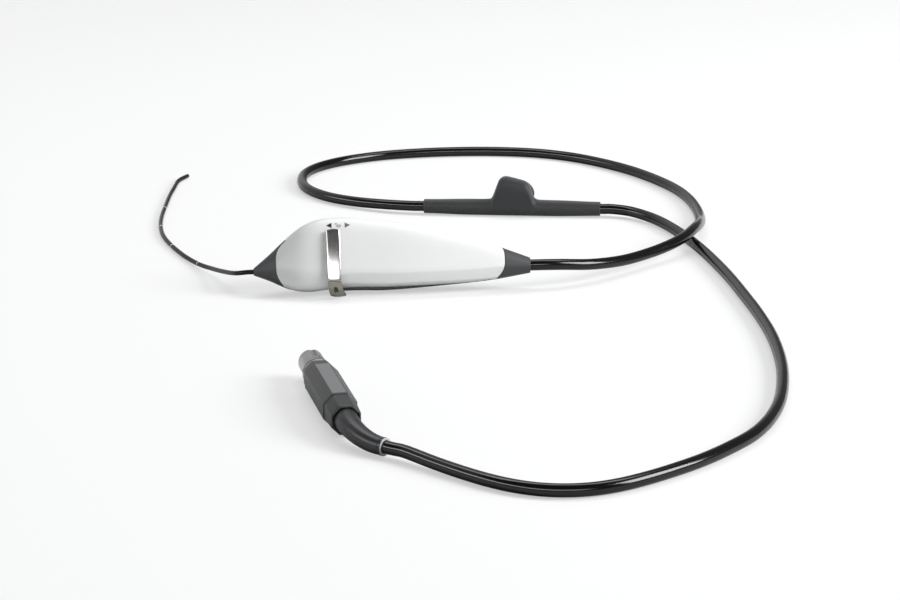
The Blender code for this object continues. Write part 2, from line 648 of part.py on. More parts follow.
def lever(colours, handle):
    """The lever, its shaft and the drum that pulls the wires. They turn about the face's normal."""
    pivot = frame_empty("lever_pivot", place(LEVER_STATION, PIVOT_HEIGHT, 0.0), parent=handle)
    steel = colours["steel"]
    lever_arm(steel, pivot)
    thumb_rest(steel, pivot)
    strap = strap_depth(PIVOT_HEIGHT)
    back = CHASSIS_FACE - CHASSIS_THICKNESS - SHAFT_PAST_PLATE
    rod("lever_shaft", -strap + SEAT_GAP, -back, SHAFT_RADIUS, steel, pivot, "Y", 32)
    bore = SHAFT_RADIUS + SEAT_GAP
    low = -DRUM_BACK - DRUM_WIDTH
    high = -DRUM_BACK
    rim = DRUM_RADIUS + DRUM_RIM
    profile = ((low, bore), (low, rim), (low + DRUM_FLANGE, rim), (low + DRUM_FLANGE, DRUM_RADIUS),
               (high - DRUM_FLANGE, DRUM_RADIUS), (high - DRUM_FLANGE, rim), (high, rim), (high, bore))
    turned("wire_drum", profile, colours["brass"], pivot, "Y", 36)
    clip_low = -CHASSIS_FACE + CHASSIS_THICKNESS + SEAT_GAP
    clip_high = clip_low + CLIP_THICKNESS
    clip = ((clip_low, bore), (clip_low, bore + CLIP_WALL), (clip_high, bore + CLIP_WALL), (clip_high, bore))
    turned("shaft_clip", clip, steel, pivot, "Y", 24)
    return pivot


def wire(name, side, paint, handle):
    """A pull wire that leaves the drum on its tangent. Its own X axis is its line of travel."""
    end = np.array((WIRE_FRONT, side * WIRE_SPREAD))
    centre = np.array((LEVER_STATION, PIVOT_HEIGHT))
    reach = float(np.linalg.norm(centre - end))
    rim = DRUM_RADIUS + WIRE_RADIUS + WIRE_CLEARANCE
    length = math.sqrt(reach**2 - rim**2)
    way = math.atan2(centre[1] - end[1], centre[0] - end[0]) + side * math.asin(rim / reach)
    depth = DRUM_BACK + DRUM_WIDTH / 2.0
    guide = frame_empty(name + "_line", place(end[0], end[1], depth), (0.0, -math.degrees(way), 0.0), handle)
    return rod(name, 0.0, length, WIRE_RADIUS, paint, guide, "X", 10)


def chassis(colours, handle):
    """The metal plate that carries the shaft, the board and the screws."""
    inset = SHELL_WALL + CHASSIS_EDGE
    xs = np.linspace(CHASSIS_START, HANDLE_LENGTH - CHASSIS_END_FROM_TAIL, 12)
    upper = [(x - HANDLE_LENGTH / 2.0, smooth_value(TOP_EDGE, x) - inset) for x in xs]
    lower = [(x - HANDLE_LENGTH / 2.0, smooth_value(BOTTOM_EDGE, x) + inset) for x in xs[::-1]]
    low = -CHASSIS_FACE
    plate = prism("chassis_plate", upper + lower, low, low + CHASSIS_THICKNESS, colours["steel"], handle)
    hole = SHAFT_RADIUS + RUNNING_GAP
    centre = place(LEVER_STATION, PIVOT_HEIGHT, 0.0)
    cut(plate, rod("shaft_hole", low - CHASSIS_THICKNESS, low + 2.0 * CHASSIS_THICKNESS, hole,
                   colours["steel"], handle, "Y", 32, centre))
    return plate


def bush(colours, handle):
    """Flanged bearing of the shaft in the front shell."""
    face = smooth_value(HALF_DEPTH, LEVER_STATION)
    bore = SHAFT_RADIUS + RUNNING_GAP
    body = bore + BUSH_WALL
    out = -face
    inside = out + SHELL_WALL + SEAT_GAP
    end = inside + BUSH_FLANGE
    profile = ((out, bore), (out, body), (inside, body), (inside, body + BUSH_FLANGE),
               (end, body + BUSH_FLANGE), (end, bore))
    centre = place(LEVER_STATION, PIVOT_HEIGHT, 0.0)
    return turned("lever_bush", profile, colours["brass"], handle, "Y", 32, centre)


def electronics(colours, handle):
    """Circuit board on the plate, its connector, and the lead from the cable."""
    low = -CHASSIS_FACE - SEAT_GAP - BOARD_THICKNESS
    x = HANDLE_LENGTH / 2.0 - BOARD_END_FROM_TAIL - BOARD_LENGTH
    bottom = BOARD_MIDDLE - BOARD_HEIGHT / 2.0
    block("circuit_board", (x, low, bottom),
          (x + BOARD_LENGTH, low + BOARD_THICKNESS, bottom + BOARD_HEIGHT),
          colours["board"], handle)
    length, height, depth = CONNECTOR_SIZE
    end = x + BOARD_LENGTH - CONNECTOR_FROM_END
    top = low - SEAT_GAP
    block("board_connector", (end - length, top - depth, BOARD_MIDDLE - height / 2.0),
          (end, top, BOARD_MIDDLE + height / 2.0), colours["dark"], handle)
    stop = HANDLE_LENGTH / 2.0 - SHELL_END_FROM_TAIL - SPIGOT_LENGTH - SEAT_GAP
    rod("cable_lead", end + SEAT_GAP, stop, LEAD_RADIUS, colours["black"], handle, "X", 12,
        (0.0, top - depth / 2.0, BOARD_MIDDLE - LEAD_DROP))


def wire_guide(colours, handle):
    """Block on the plate that the two wires run through."""
    x = GUIDE_STATION - HANDLE_LENGTH / 2.0
    depth = DRUM_BACK + DRUM_WIDTH / 2.0
    half = GUIDE_SLOT / 2.0
    guide = block("wire_guide", (x, -depth - half - GUIDE_FRONT, GUIDE_LOW),
                  (x + GUIDE_LENGTH, -CHASSIS_FACE - SEAT_GAP, GUIDE_HIGH), colours["brass"], handle)
    slot = block("wire_slot", (x - GUIDE_WALL, -depth - half, GUIDE_LOW + GUIDE_WALL),
                 (x + GUIDE_LENGTH + GUIDE_WALL, -depth + half, GUIDE_HIGH - GUIDE_WALL),
                 colours["brass"], handle)
    return cut(guide, slot)


def screws(colours, handle, back, plate):
    """Screws through the back shell's bosses into the plate, with their heads sunk in the shell."""
    stations_from_nose = (*SCREW_STATIONS, HANDLE_LENGTH - LAST_SCREW_FROM_TAIL)
    lifts = (0.0, SECOND_SCREW_LIFT, 0.0)
    steel = colours["steel"]
    plate_top = -CHASSIS_FACE + CHASSIS_THICKNESS
    for number, (x, lift) in enumerate(zip(stations_from_nose, lifts), 1):
        middle = (smooth_value(TOP_EDGE, x) + smooth_value(BOTTOM_EDGE, x)) / 2.0 + lift
        outside = smooth_value(HALF_DEPTH, x)
        centre = place(x, middle, 0.0)
        boss_radius = SCREW_HEAD + SEAT_GAP + BOSS_WALL
        join(back, rod("boss_%d" % number, plate_top + SEAT_GAP, outside - BOSS_ROOT, boss_radius,
                       colours["dark"], handle, "Y", 24, centre))
        head = outside - SCREW_SUNK
        seat = head - SCREW_HEAD_HEIGHT
        tip = -CHASSIS_FACE + SCREW_HOLD
        edge = BOSS_WALL / 3.0
        profile = ((tip, 0.0), (tip, SCREW_SHANK), (seat, SCREW_SHANK), (seat, SCREW_HEAD),
                   (head - edge, SCREW_HEAD), (head, SCREW_HEAD - edge), (head, 0.0))
        turned("cover_screw_%d" % number, profile, steel, handle, "Y", 20, centre)
        low = -CHASSIS_FACE - CHASSIS_THICKNESS
        shank = SCREW_SHANK + SEAT_GAP
        wide = SCREW_HEAD + SEAT_GAP
        past = outside + SHELL_WALL
        seat_hole = ((low, 0.0), (low, shank), (seat - SEAT_GAP, shank), (seat - SEAT_GAP, wide),
                     (past, wide), (past, 0.0))
        hole = turned("screw_hole_%d" % number, seat_hole, steel, handle, "Y", 20, centre)
        cut(back, hole)
        cut(plate, hole)


def handle_body(colours):
    """Everything in and on the handle."""
    handle = frame_empty("handle_frame", (0.0, HANDLE_SHIFT_Y, resting_height()), (-HANDLE_LEAN, 0.0, 0.0))
    front = shell_half("front_shell", front_outline, colours["white"], handle)
    back = shell_half("back_shell", seam_shifted, colours["dark"], handle)
    cone("nose_cone", True, colours["grey"], handle)
    cone("tail_cone", False, colours["grey"], handle)
    plate = chassis(colours, handle)
    bush(colours, handle)
    hole = SHAFT_RADIUS + RUNNING_GAP + BUSH_WALL + SEAT_GAP
    centre = place(LEVER_STATION, PIVOT_HEIGHT, 0.0)
    face = smooth_value(HALF_DEPTH, LEVER_STATION)
    cut(front, rod("bush_hole", -2.0 * face, -face / 2.0, hole, colours["white"], handle, "Y", 32, centre))
    screws(colours, handle, back, plate)
    electronics(colours, handle)
    wire_guide(colours, handle)
    lever(colours, handle)
    wire("pull_wire_up", 1.0, colours["steel"], handle)
    wire("pull_wire_down", -1.0, colours["steel"], handle)
    return handle


def vertebra(name, length, front_ears, back_ears, paint, parent, start=0.0):
    """A short ring with ears at its ends. The outer ears of one lie over the inner ears of the next."""
    outer = VERTEBRA_RADIUS
    inner = VERTEBRA_RADIUS - VERTEBRA_WALL
    profile = ((start, inner), (start, outer), (start + length, outer), (start + length, inner))
    ring = turned(name, profile, paint, parent, "X", 20)
    half_gap = VERTEBRA_GAP / 2.0
    for side in (-1.0, 1.0):
        if front_ears:
            ear(name + "_front_%d" % side, ring, start + length, half_gap, outer, side, paint, parent)
        if back_ears:
            inside = inner - EAR_PLAY
            ear(name + "_back_%d" % side, ring, start, -half_gap, inside, side, paint, parent)
    return ring


def ear(name, ring, edge, reach, level, side, paint, parent):
    """A round-ended tab from the ring's edge to the hinge line."""
    pivot = edge + reach
    root = edge - math.copysign(EAR_ROOT, reach)
    outline = [(root, -EAR_RADIUS), (root, EAR_RADIUS)]
    for angle in np.linspace(math.pi / 2.0, math.pi / 2.0 - math.copysign(math.pi, reach), 9):
        outline.append((pivot + EAR_RADIUS * math.cos(angle), EAR_RADIUS * math.sin(angle)))
    low, high = sorted((side * level, side * (level - EAR_THICKNESS)))
    rings = [[(x, y, z) for x, y in outline] for z in (low, high)]
    return join(ring, loft(name, rings, paint, parent))


def bending_tip(colours, start):
    """The chain of vertebrae from the tube's end, each hinged to the one before, and the head."""
    steel = colours["steel"]
    heading = math.radians(TIP_HEADING)
    base = frame_empty("tip_base", start, (0.0, 0.0, TIP_HEADING))
    length = VERTEBRA_PITCH - VERTEBRA_GAP
    vertebra("bend_collar", length, True, False, steel, base, SEAT_GAP)
    here = Vector(start)
    along = Vector((math.cos(heading), math.sin(heading), 0.0))
    here += along * (SEAT_GAP + length + VERTEBRA_GAP / 2.0)
    step = math.radians(TIP_CURL) / VERTEBRAE
    for number in range(1, VERTEBRAE + 1):
        heading += step
        along = Vector((math.cos(heading), math.sin(heading), 0.0))
        hinge = frame_empty("bend_hinge_%d" % number, here, (0.0, 0.0, math.degrees(heading)))
        if number < VERTEBRAE:
            vertebra("vertebra_%d" % number, length, True, True, steel, hinge, VERTEBRA_GAP / 2.0)
            here = here + along * VERTEBRA_PITCH
    distal_head(colours, hinge)
    return here


def distal_head(colours, hinge):
    """Metal head with a camera lens and two light lenses in its flat face, and ears at its neck."""
    steel = colours["steel"]
    start = VERTEBRA_GAP / 2.0
    face = start + HEAD_LENGTH
    neck = VERTEBRA_RADIUS
    shoulder = start + HEAD_NECK
    profile = ((start, 0.0), (start, neck), (shoulder, neck), (shoulder, HEAD_RADIUS),
               (face - HEAD_WALL, HEAD_RADIUS), (face, HEAD_RADIUS - HEAD_WALL), (face, 0.0))
    head = turned("distal_head", profile, steel, hinge, "X", 24)
    cut(head, rod("head_mouth", -start, face - CAMERA_LENGTH, neck - VERTEBRA_WALL, steel, hinge, "X", 20))
    inside = VERTEBRA_RADIUS - VERTEBRA_WALL - EAR_PLAY
    for side in (-1.0, 1.0):
        ear("head_ear_%d" % side, head, start, -VERTEBRA_GAP / 2.0, inside, side, steel, hinge)
    lenses = (("objective_lens", 0.0, OBJECTIVE_RISE, OBJECTIVE_RADIUS),
              ("light_lens_left", LIGHT_SPREAD, -LIGHT_DROP, LIGHT_RADIUS),
              ("light_lens_right", -LIGHT_SPREAD, -LIGHT_DROP, LIGHT_RADIUS))
    floor = face - LENS_DEPTH
    for name, across, up, radius in lenses:
        centre = (0.0, across, up)
        bore = radius + LENS_FIT
        cut(head, rod(name + "_bore", floor, face + LENS_DEPTH, bore, steel, hinge, "X", 16, centre))
        rod(name, floor + LENS_FIT, face - LENS_FIT, radius, colours["glass"], hinge, "X", 16, centre)


def port_body(colours):
    """The grey sleeve round the cable, with its hump, the vent and the vent's sprung pin."""
    grey = colours["grey"]
    base = frame_empty("port_frame", (*PORT_CENTRE, PORT_RADIUS), (0.0, 0.0, PORT_HEADING))
    half = PORT_LENGTH / 2.0
    bore = CABLE_RADIUS + SEAT_GAP
    mouth = half - SOCKET_DEPTH
    lip = half - PORT_LIP
    flank = PORT_FLANK * half
    profile = ((-mouth, 0.0), (-mouth, bore), (-half, bore), (-half, PORT_END_RADIUS - PORT_LIP),
               (-lip, PORT_END_RADIUS), (-flank, PORT_RADIUS), (flank, PORT_RADIUS), (lip, PORT_END_RADIUS),
               (half, PORT_END_RADIUS - PORT_LIP), (half, bore), (mouth, bore), (mouth, 0.0))
    sleeve = turned("port_housing", profile, grey, base, "X", 32)
    outline = [(HUMP_WIDTH * share, HUMP_HEIGHT * rise) for share, rise in HUMP_SHAPE]
    hump = prism("hump", outline, -HUMP_DEPTH / 2.0, HUMP_DEPTH / 2.0, grey, base)
    soften(hump, HUMP_ROUND, 3)
    join(sleeve, hump)
    centre = (VENT_ACROSS, 0.0, VENT_HEIGHT)
    face = HUMP_DEPTH / 2.0
    cut(sleeve, rod("vent_bore", face - VENT_BORE_DEPTH, face + SEAT_GAP + HUMP_ROUND, VENT_BORE, grey, base,
                    "Y", 24, centre))
    vent_socket(colours, base, centre, face)
    vent_pin(colours, base, centre, face)
    return base


def vent_socket(colours, base, centre, face):
    """The vent's round metal socket, with a step that the cap of a leak tester seals on."""
    start = face + SEAT_GAP
    back = face + VENT_DEPTH
    mouth = VENT_BORE + VENT_FACE
    profile = ((start, VENT_BORE), (start, VENT_RADIUS), (back - VENT_EDGE, VENT_RADIUS),
               (back, VENT_RADIUS - VENT_EDGE), (back, mouth), (back - VENT_FACE_DEPTH, mouth),
               (back - VENT_FACE_DEPTH, VENT_BORE))
    return turned("vent_socket", profile, colours["steel"], base, "Y", 36, centre)


def vent_pin(colours, base, centre, face):
    """The pin that opens the vent when it is pressed, and the spring under its flange."""
    seat = face - PIN_HEAD
    end = face + VENT_DEPTH - PIN_SUNK
    edge = PIN_RADIUS / 5.0
    pin = ((seat, 0.0), (seat, VENT_BORE - PIN_PLAY), (face, VENT_BORE - PIN_PLAY), (face, PIN_RADIUS),
           (end - edge, PIN_RADIUS), (end, PIN_RADIUS - edge), (end, 0.0))
    turned("vent_pin", pin, colours["steel"], base, "Y", 20, centre)
    low = face - VENT_BORE_DEPTH + SPRING_PLAY
    high = seat - SPRING_PLAY
    inside = SPRING_RADIUS - SPRING_WALL
    spring = ((low, inside), (low, SPRING_RADIUS), (high, SPRING_RADIUS), (high, inside))
    turned("vent_spring", spring, colours["steel"], base, "Y", 16, centre)


def octagon(across, x):
    """Eight-sided ring with flats above and below. Its flats are shorter than its slanted sides."""
    half = across / 2.0
    small = half * GRIP_FLAT
    pairs = ((small, half), (half, small), (half, -small), (small, -half),
             (-small, -half), (-half, -small), (-half, small), (-small, half))
    return [(x, y, z) for y, z in pairs]


def plug(colours):
    """Eight-sided grip with a collar, a metal nose with its insert, and a tapering boot."""
    height = GRIP_ACROSS / 2.0
    base = frame_empty("plug_frame", (*PLUG_JOINT, height), (0.0, 0.0, PLUG_HEADING))
    step = GRIP_STEP_START
    low = GRIP_ACROSS - 2.0 * GRIP_STEP_DEPTH
    front = 2.0 * COLLAR_RADIUS
    sizes = ((0.0, GRIP_REAR_WIDTH - GRIP_EDGE), (GRIP_EDGE, GRIP_REAR_WIDTH), (step - GRIP_STEP_DEPTH, low),
             (step, GRIP_ACROSS), (GRIP_LENGTH - GRIP_FRONT_TAPER, GRIP_ACROSS),
             (GRIP_LENGTH - GRIP_EDGE, front + GRIP_EDGE), (GRIP_LENGTH, front - GRIP_EDGE))
    rings = [octagon(across, x) for x, across in sizes]
    soften(loft("plug_grip", rings, colours["plug"], base), GRIP_EDGE)
    start = GRIP_LENGTH + SEAT_GAP
    end = start + COLLAR_LENGTH
    collar = ((start, 0.0), (start, COLLAR_RADIUS), (end - COLLAR_EDGE, COLLAR_RADIUS),
              (end, COLLAR_RADIUS - COLLAR_EDGE), (end, 0.0))
    turned("plug_collar", collar, colours["grey"], base, "X", 32)
    plug_nose(colours, base, end + SEAT_GAP)
    return base, boot(colours, base)


def plug_nose(colours, base, start):
    """The round metal shell with its key slot, and the insert that holds the contacts."""
    tip = start + NOSE_LENGTH
    bore = NOSE_RADIUS - NOSE_WALL
    floor = tip - NOSE_MOUTH
    nose = ((start, 0.0), (start, NOSE_RADIUS), (tip - NOSE_EDGE, NOSE_RADIUS),
            (tip, NOSE_RADIUS - NOSE_EDGE), (tip, bore), (floor, bore), (floor, 0.0))
    shell = turned("plug_nose", nose, colours["steel"], base, "X", 36)
    half = KEY_WIDTH / 2.0
    cut(shell, block("key_slot", (tip - KEY_LENGTH, -half, NOSE_RADIUS - KEY_DEPTH),
                     (tip + NOSE_EDGE, half, NOSE_RADIUS + KEY_DEPTH), colours["steel"], base))
    rod("plug_insert", floor + SEAT_GAP, tip - INSERT_SUNK, bore - SEAT_GAP, colours["dark"], base, "X", 32)


def boot(colours, base):
    """Bent, tapering strain relief from the grip's end down to the cable, with a ring round its end."""
    turn = math.radians(BOOT_BEND)
    bend_radius = BOOT_LENGTH / turn
    drop = GRIP_ACROSS / 2.0 - BOOT_END_RADIUS - RING_RISE
    angles = np.linspace(0.0, 2.0 * math.pi, 24, endpoint=False)
    rings = []
    for t in np.linspace(0.0, 1.0, 14):
        heading = turn * t
        middle = Vector((-SEAT_GAP - bend_radius * math.sin(heading),
                         -bend_radius * (1.0 - math.cos(heading)), -drop * ease(t, 0.0, 1.0)))
        across = Vector((math.sin(heading), -math.cos(heading), 0.0))
        radius = BOOT_RADIUS + (BOOT_END_RADIUS - BOOT_RADIUS) * t**BOOT_TAPER
        radius += BOOT_FLANGE * max(0.0, 1.0 - t * BOOT_LENGTH / BOOT_FLANGE_LENGTH)
        rings.append([middle + across * radius * math.cos(a) + Vector((0.0, 0.0, radius * math.sin(a)))
                      for a in angles])
    loft("plug_boot", rings, colours["plug"], base)
    outward = Vector((-math.cos(turn), -math.sin(turn), 0.0))
    end_frame = frame_empty("boot_end_frame", middle, (0.0, 0.0, 180.0 + BOOT_BEND), base)
    bore = CABLE_RADIUS + SEAT_GAP
    wide = BOOT_END_RADIUS + RING_RISE
    low = SEAT_GAP
    high = SEAT_GAP + RING_LENGTH
    profile = ((low, bore), (low, wide), (high - RING_RISE, wide), (high, wide - RING_RISE), (high, bore))
    turned("boot_ring", profile, colours["plug"], end_frame, "X", 32)
    return middle, outward


def way_out(guide, seat, direction, lead_out):
    """Route points along a guide's X axis: the seat in a socket, then straight out of its mouth."""
    bpy.context.view_layer.update()
    steps = (0.0, SOCKET_DEPTH, *(SOCKET_DEPTH + step for step in lead_out))
    return [guide.matrix_world @ Vector((seat + direction * step, 0.0, 0.0)) for step in steps]


def on_table(route):
    return [Vector(point) * MM for point in route]


def cords(colours, handle, port, plug_base, boot_end, boot_way):
    """The insertion tube with its bending tip, and the cable's two stretches."""
    seat = SOCKET_DEPTH - SEAT_GAP
    nose = way_out(handle, -HANDLE_LENGTH / 2.0 + seat, -1.0, TUBE_LEAD_OUT)
    heading = math.radians(TIP_HEADING)
    run_on = Vector((math.cos(heading), math.sin(heading), 0.0)) * TIP_RUN_ON
    last = Vector(TUBE_ROUTE[-1]) * MM
    tip_start = last + run_on
    tube = [*nose, *on_table(TUBE_ROUTE), last + run_on * 0.5, tip_start]
    cord("insertion_tube", tube, TUBE_RADIUS, 5.4 * MM, 2, colours["black"])
    bending_tip(colours, tip_start)
    tail = way_out(handle, HANDLE_LENGTH / 2.0 - seat, 1.0, CABLE_LEAD_OUT)
    port_in = way_out(port, -PORT_LENGTH / 2.0 + seat, -1.0, CABLE_LEAD_OUT)
    port_out = way_out(port, PORT_LENGTH / 2.0 - seat, 1.0, CABLE_LEAD_OUT)
    loop = [*tail, *on_table(LOOP_ROUTE), *port_in[::-1]]
    cord("cable_front", loop, CABLE_RADIUS, 12.0 * MM, 3, colours["black"])
    ends = [plug_base.matrix_world @ (boot_end + boot_way * step) for step in (*BOOT_LEAD_OUT, SEAT_GAP)]
    rear = [*port_out, *on_table(REAR_ROUTE), *ends]
    cord("cable_rear", rear, CABLE_RADIUS, 12.0 * MM, 3, colours["black"])


def main():
    clear_scene()
    colours = paints()
    handle = handle_body(colours)
    port = port_body(colours)
    plug_base, (boot_end, boot_way) = plug(colours)
    cords(colours, handle, port, plug_base, boot_end, boot_way)


main()
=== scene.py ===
# %% [markdown]
# # A flexible endoscope on a table
# The object is a slim hand piece with a lever, a thin black insertion tube at its nose, and a long
# cable that runs through a sleeve with a vent port to a plug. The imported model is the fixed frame:
# every piece below is placed from it, in metres, with the table at zero height.

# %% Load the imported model
import math

import bpy
import numpy as np
from mathutils import Matrix, Vector


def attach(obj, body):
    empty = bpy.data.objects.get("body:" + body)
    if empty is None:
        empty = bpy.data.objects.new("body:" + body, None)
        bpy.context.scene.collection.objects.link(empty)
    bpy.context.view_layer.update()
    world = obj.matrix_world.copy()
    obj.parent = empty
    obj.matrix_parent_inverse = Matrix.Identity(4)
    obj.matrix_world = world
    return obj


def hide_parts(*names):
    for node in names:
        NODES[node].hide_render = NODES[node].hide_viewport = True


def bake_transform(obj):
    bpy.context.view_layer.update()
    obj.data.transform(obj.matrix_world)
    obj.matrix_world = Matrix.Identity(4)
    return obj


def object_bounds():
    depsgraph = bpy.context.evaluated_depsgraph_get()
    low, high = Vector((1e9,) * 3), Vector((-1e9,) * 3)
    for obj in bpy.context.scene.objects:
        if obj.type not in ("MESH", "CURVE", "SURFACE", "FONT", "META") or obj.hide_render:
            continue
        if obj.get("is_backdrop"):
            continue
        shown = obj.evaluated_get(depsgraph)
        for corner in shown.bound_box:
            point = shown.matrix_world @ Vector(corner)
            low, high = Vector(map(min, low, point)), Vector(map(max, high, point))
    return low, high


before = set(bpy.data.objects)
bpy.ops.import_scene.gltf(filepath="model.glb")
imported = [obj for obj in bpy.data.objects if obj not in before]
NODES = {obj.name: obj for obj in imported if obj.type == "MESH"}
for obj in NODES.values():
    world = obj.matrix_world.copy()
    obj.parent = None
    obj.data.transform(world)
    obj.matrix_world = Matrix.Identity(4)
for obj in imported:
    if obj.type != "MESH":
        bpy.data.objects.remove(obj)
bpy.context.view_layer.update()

# %% [markdown]
# ## Where the camera stands
# A long lens from well back keeps the cable's loop almost free of perspective. The camera looks a
# little down on the table and is turned a few degrees to the right. Its axes are built by hand from
# those angles, because the three numbers then stay readable.

# %% Camera
EYE = Vector((-0.0785, -1.5885, 0.4244))
TURN = math.radians(4.007)
DOWN = math.radians(15.14)
ROLL = math.radians(-0.45)
LENS = 116.09


def camera_axes(turn, down, roll):
    """Right, up and backward axes: look along +Y, turn right, tip down, then roll about the view."""
    forward = Vector((math.sin(turn) * math.cos(down), math.cos(turn) * math.cos(down), -math.sin(down)))
    right = Vector((math.cos(turn), -math.sin(turn), 0.0))
    up = right.cross(forward)
    rolled_right = math.cos(roll) * right + math.sin(roll) * up
    rolled_up = math.cos(roll) * up - math.sin(roll) * right
    return rolled_right, rolled_up, -forward


camera = bpy.data.objects.new("camera", bpy.data.cameras.new("camera"))
bpy.context.collection.objects.link(camera)
camera.data.lens = LENS
camera.data.sensor_width = 36.0
camera.data.clip_start = 0.01
axes = Matrix(camera_axes(TURN, DOWN, ROLL)).transposed().to_4x4()
camera.matrix_world = Matrix.Translation(EYE) @ axes
bpy.context.scene.camera = camera
bpy.context.scene.view_settings.view_transform = "Standard"
print("camera at", [round(value, 3) for value in EYE])

# %% [markdown]
# ## Helpers for surfaces
# Almost every piece here is a grid of points: one direction runs along the piece, the other round
# it. A subdivided box could be pushed into shape instead, but a grid keeps each outline exact. Numpy
# works out the whole grid at once, and these helpers only turn it into a mesh.

# %% Grids of points become meshes
MM = 0.001


def mesh_piece(name, points, faces, uv=None):
    """A mesh from points and faces. uv gives each point's place on its own unrolled surface."""
    mesh = bpy.data.meshes.new(name)
    mesh.from_pydata(np.asarray(points, float).tolist(), [], faces)
    if uv is not None:
        layer = mesh.uv_layers.new(name="surface")
        corners = np.zeros(len(mesh.loops), np.int64)
        mesh.loops.foreach_get("vertex_index", corners)
        layer.data.foreach_set("uv", np.asarray(uv, np.float32)[corners].ravel())
    mesh.shade_smooth()
    piece = bpy.data.objects.new(name, mesh)
    bpy.context.collection.objects.link(piece)
    return piece


def grid_faces(rows, around, closed=True):
    """Quads of a grid stored row by row. closed joins the last column to the first."""
    k, i = np.meshgrid(np.arange(rows - 1), np.arange(around if closed else around - 1), indexing="ij")
    j = (i + 1) % around
    quads = np.stack((k * around + i, k * around + j, (k + 1) * around + j, (k + 1) * around + i), axis=-1)
    return quads.reshape(-1, 4).tolist()


def closed_loft(name, rings, uv=None):
    """Rings of equal count, joined side by side, with a fan of triangles over each end."""
    rings = np.asarray(rings, float)
    rows, around = rings.shape[:2]
    points = np.vstack((rings.reshape(-1, 3), rings[0].mean(axis=0), rings[-1].mean(axis=0)))
    faces = grid_faces(rows, around)
    start, end = rows * around, rows * around + 1
    steps = np.arange(around)
    after = (steps + 1) % around
    last = (rows - 1) * around
    faces += np.stack((after, steps, np.full(around, start)), axis=-1).tolist()
    faces += np.stack((last + steps, last + after, np.full(around, end)), axis=-1).tolist()
    if uv is not None:
        uv = np.asarray(uv, float).reshape(-1, 2)
        uv = np.vstack((uv, uv[0], uv[-1]))
    return outward(mesh_piece(name, points, faces, uv))


def outward(piece):
    """Turn the faces to point out: the signed volume of a closed surface is then positive."""
    mesh = piece.data
    corners = np.zeros(len(mesh.vertices) * 3)
    mesh.vertices.foreach_get("co", corners)
    corners = corners.reshape(-1, 3) - corners.reshape(-1, 3).mean(axis=0)
    mesh.calc_loop_triangles()
    triangles = np.zeros(len(mesh.loop_triangles) * 3, np.int64)
    mesh.loop_triangles.foreach_get("vertices", triangles)
    a, b, c = (corners[triangles.reshape(-1, 3)[:, k]] for k in range(3))
    if np.einsum("ij,ij->i", a, np.cross(b, c)).sum() < 0.0:
        mesh.flip_normals()
    return piece


print("a grid of 3 rows with 4 points round has", len(grid_faces(3, 4)), "quads")

# %% [markdown]
# ## The cords' routes
# The tube and the two stretches of cable are fixed lengths of something flexible. Each follows a
# smooth curve through a few points on the table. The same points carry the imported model's plain
# cords, so the dressed ones lie exactly where those do. A curve object with a bevel could make them
# too, but a swept grid has a UV map in metres, which the tube's depth rings need.

# %% Smooth paths
HANDLE_LENGTH = 0.1564
HANDLE_LEAN = math.radians(24.0)
HANDLE_AXIS = Vector((0.0, -0.00194, 0.0134))
SOCKET_DEPTH = 0.004
SEAT_GAP = 0.0003
STEPS_PER_SPAN = 24


def smooth_path(route, spacing):
    """Evenly spaced points on a Catmull-Rom curve through the route's own points."""
    knots = np.array(route, float)
    padded = np.vstack((2.0 * knots[0] - knots[1], knots, 2.0 * knots[-1] - knots[-2]))
    p0, p1, p2, p3 = padded[:-3], padded[1:-2], padded[2:-1], padded[3:]
    t = np.linspace(0.0, 1.0, STEPS_PER_SPAN, endpoint=False)[None, :, None]
    p0, p1, p2, p3 = (p[:, None, :] for p in (p0, p1, p2, p3))
    fine = 0.5 * (2 * p1 + (p2 - p0) * t + (2 * p0 - 5 * p1 + 4 * p2 - p3) * t**2
                  + (3 * p1 - p0 - 3 * p2 + p3) * t**3)
    fine = np.vstack((fine.reshape(-1, knots.shape[1]), knots[-1:]))
    along = np.concatenate(([0.0], np.cumsum(np.linalg.norm(np.diff(fine, axis=0), axis=1))))
    marks = np.linspace(0.0, along[-1], int(round(along[-1] / spacing)) + 1)
    return np.column_stack([np.interp(marks, along, fine[:, k]) for k in range(knots.shape[1])])


def path_length(path):
    """The sum of the steps between a path's points."""
    return float(np.linalg.norm(np.diff(path, axis=0), axis=1).sum())


def path_frames(path):
    """Two unit vectors square to the path at each point, one level and one as upright as can be."""
    along = np.gradient(path, axis=0)
    along /= np.linalg.norm(along, axis=1)[:, None]
    level = np.cross(along, (0.0, 0.0, 1.0))
    level /= np.linalg.norm(level, axis=1)[:, None]
    return level, np.cross(level, along)


def swept_tube(name, path, radius, sides):
    """A round tube along a path. Its own UV runs in metres: round the tube, then along it."""
    level, upright = path_frames(path)
    turn = np.linspace(0.0, 2.0 * np.pi, sides, endpoint=False)
    rings = (path[:, None, :] + radius * np.cos(turn)[None, :, None] * level[:, None, :]
             + radius * np.sin(turn)[None, :, None] * upright[:, None, :])
    along = np.concatenate(([0.0], np.cumsum(np.linalg.norm(np.diff(path, axis=0), axis=1))))
    uv = np.stack(np.broadcast_arrays(radius * turn[None, :], along[:, None]), axis=-1)
    return closed_loft(name, rings, uv)


print("smooth curves pass through every route point")

# %% [markdown]
# ## Frames of the parts
# The hand piece leans back on the table, the sleeve lies along the far side of the loop, and the
# plug lies in front. Each has its own frame: X along the part, Y across it and Z up. Shapes are
# worked out in those frames and turned into place as whole arrays at the end.

# %% Frames
PORT_CENTRE = Vector((0.0844, 0.1754, 0.005))
PORT_HEADING = math.radians(-10.1)
PLUG_JOINT = Vector((-0.036, -0.2693, 0.0085))
PLUG_HEADING = math.radians(98.0)
BOOT_LENGTH = 0.034
BOOT_BEND = math.radians(40.0)


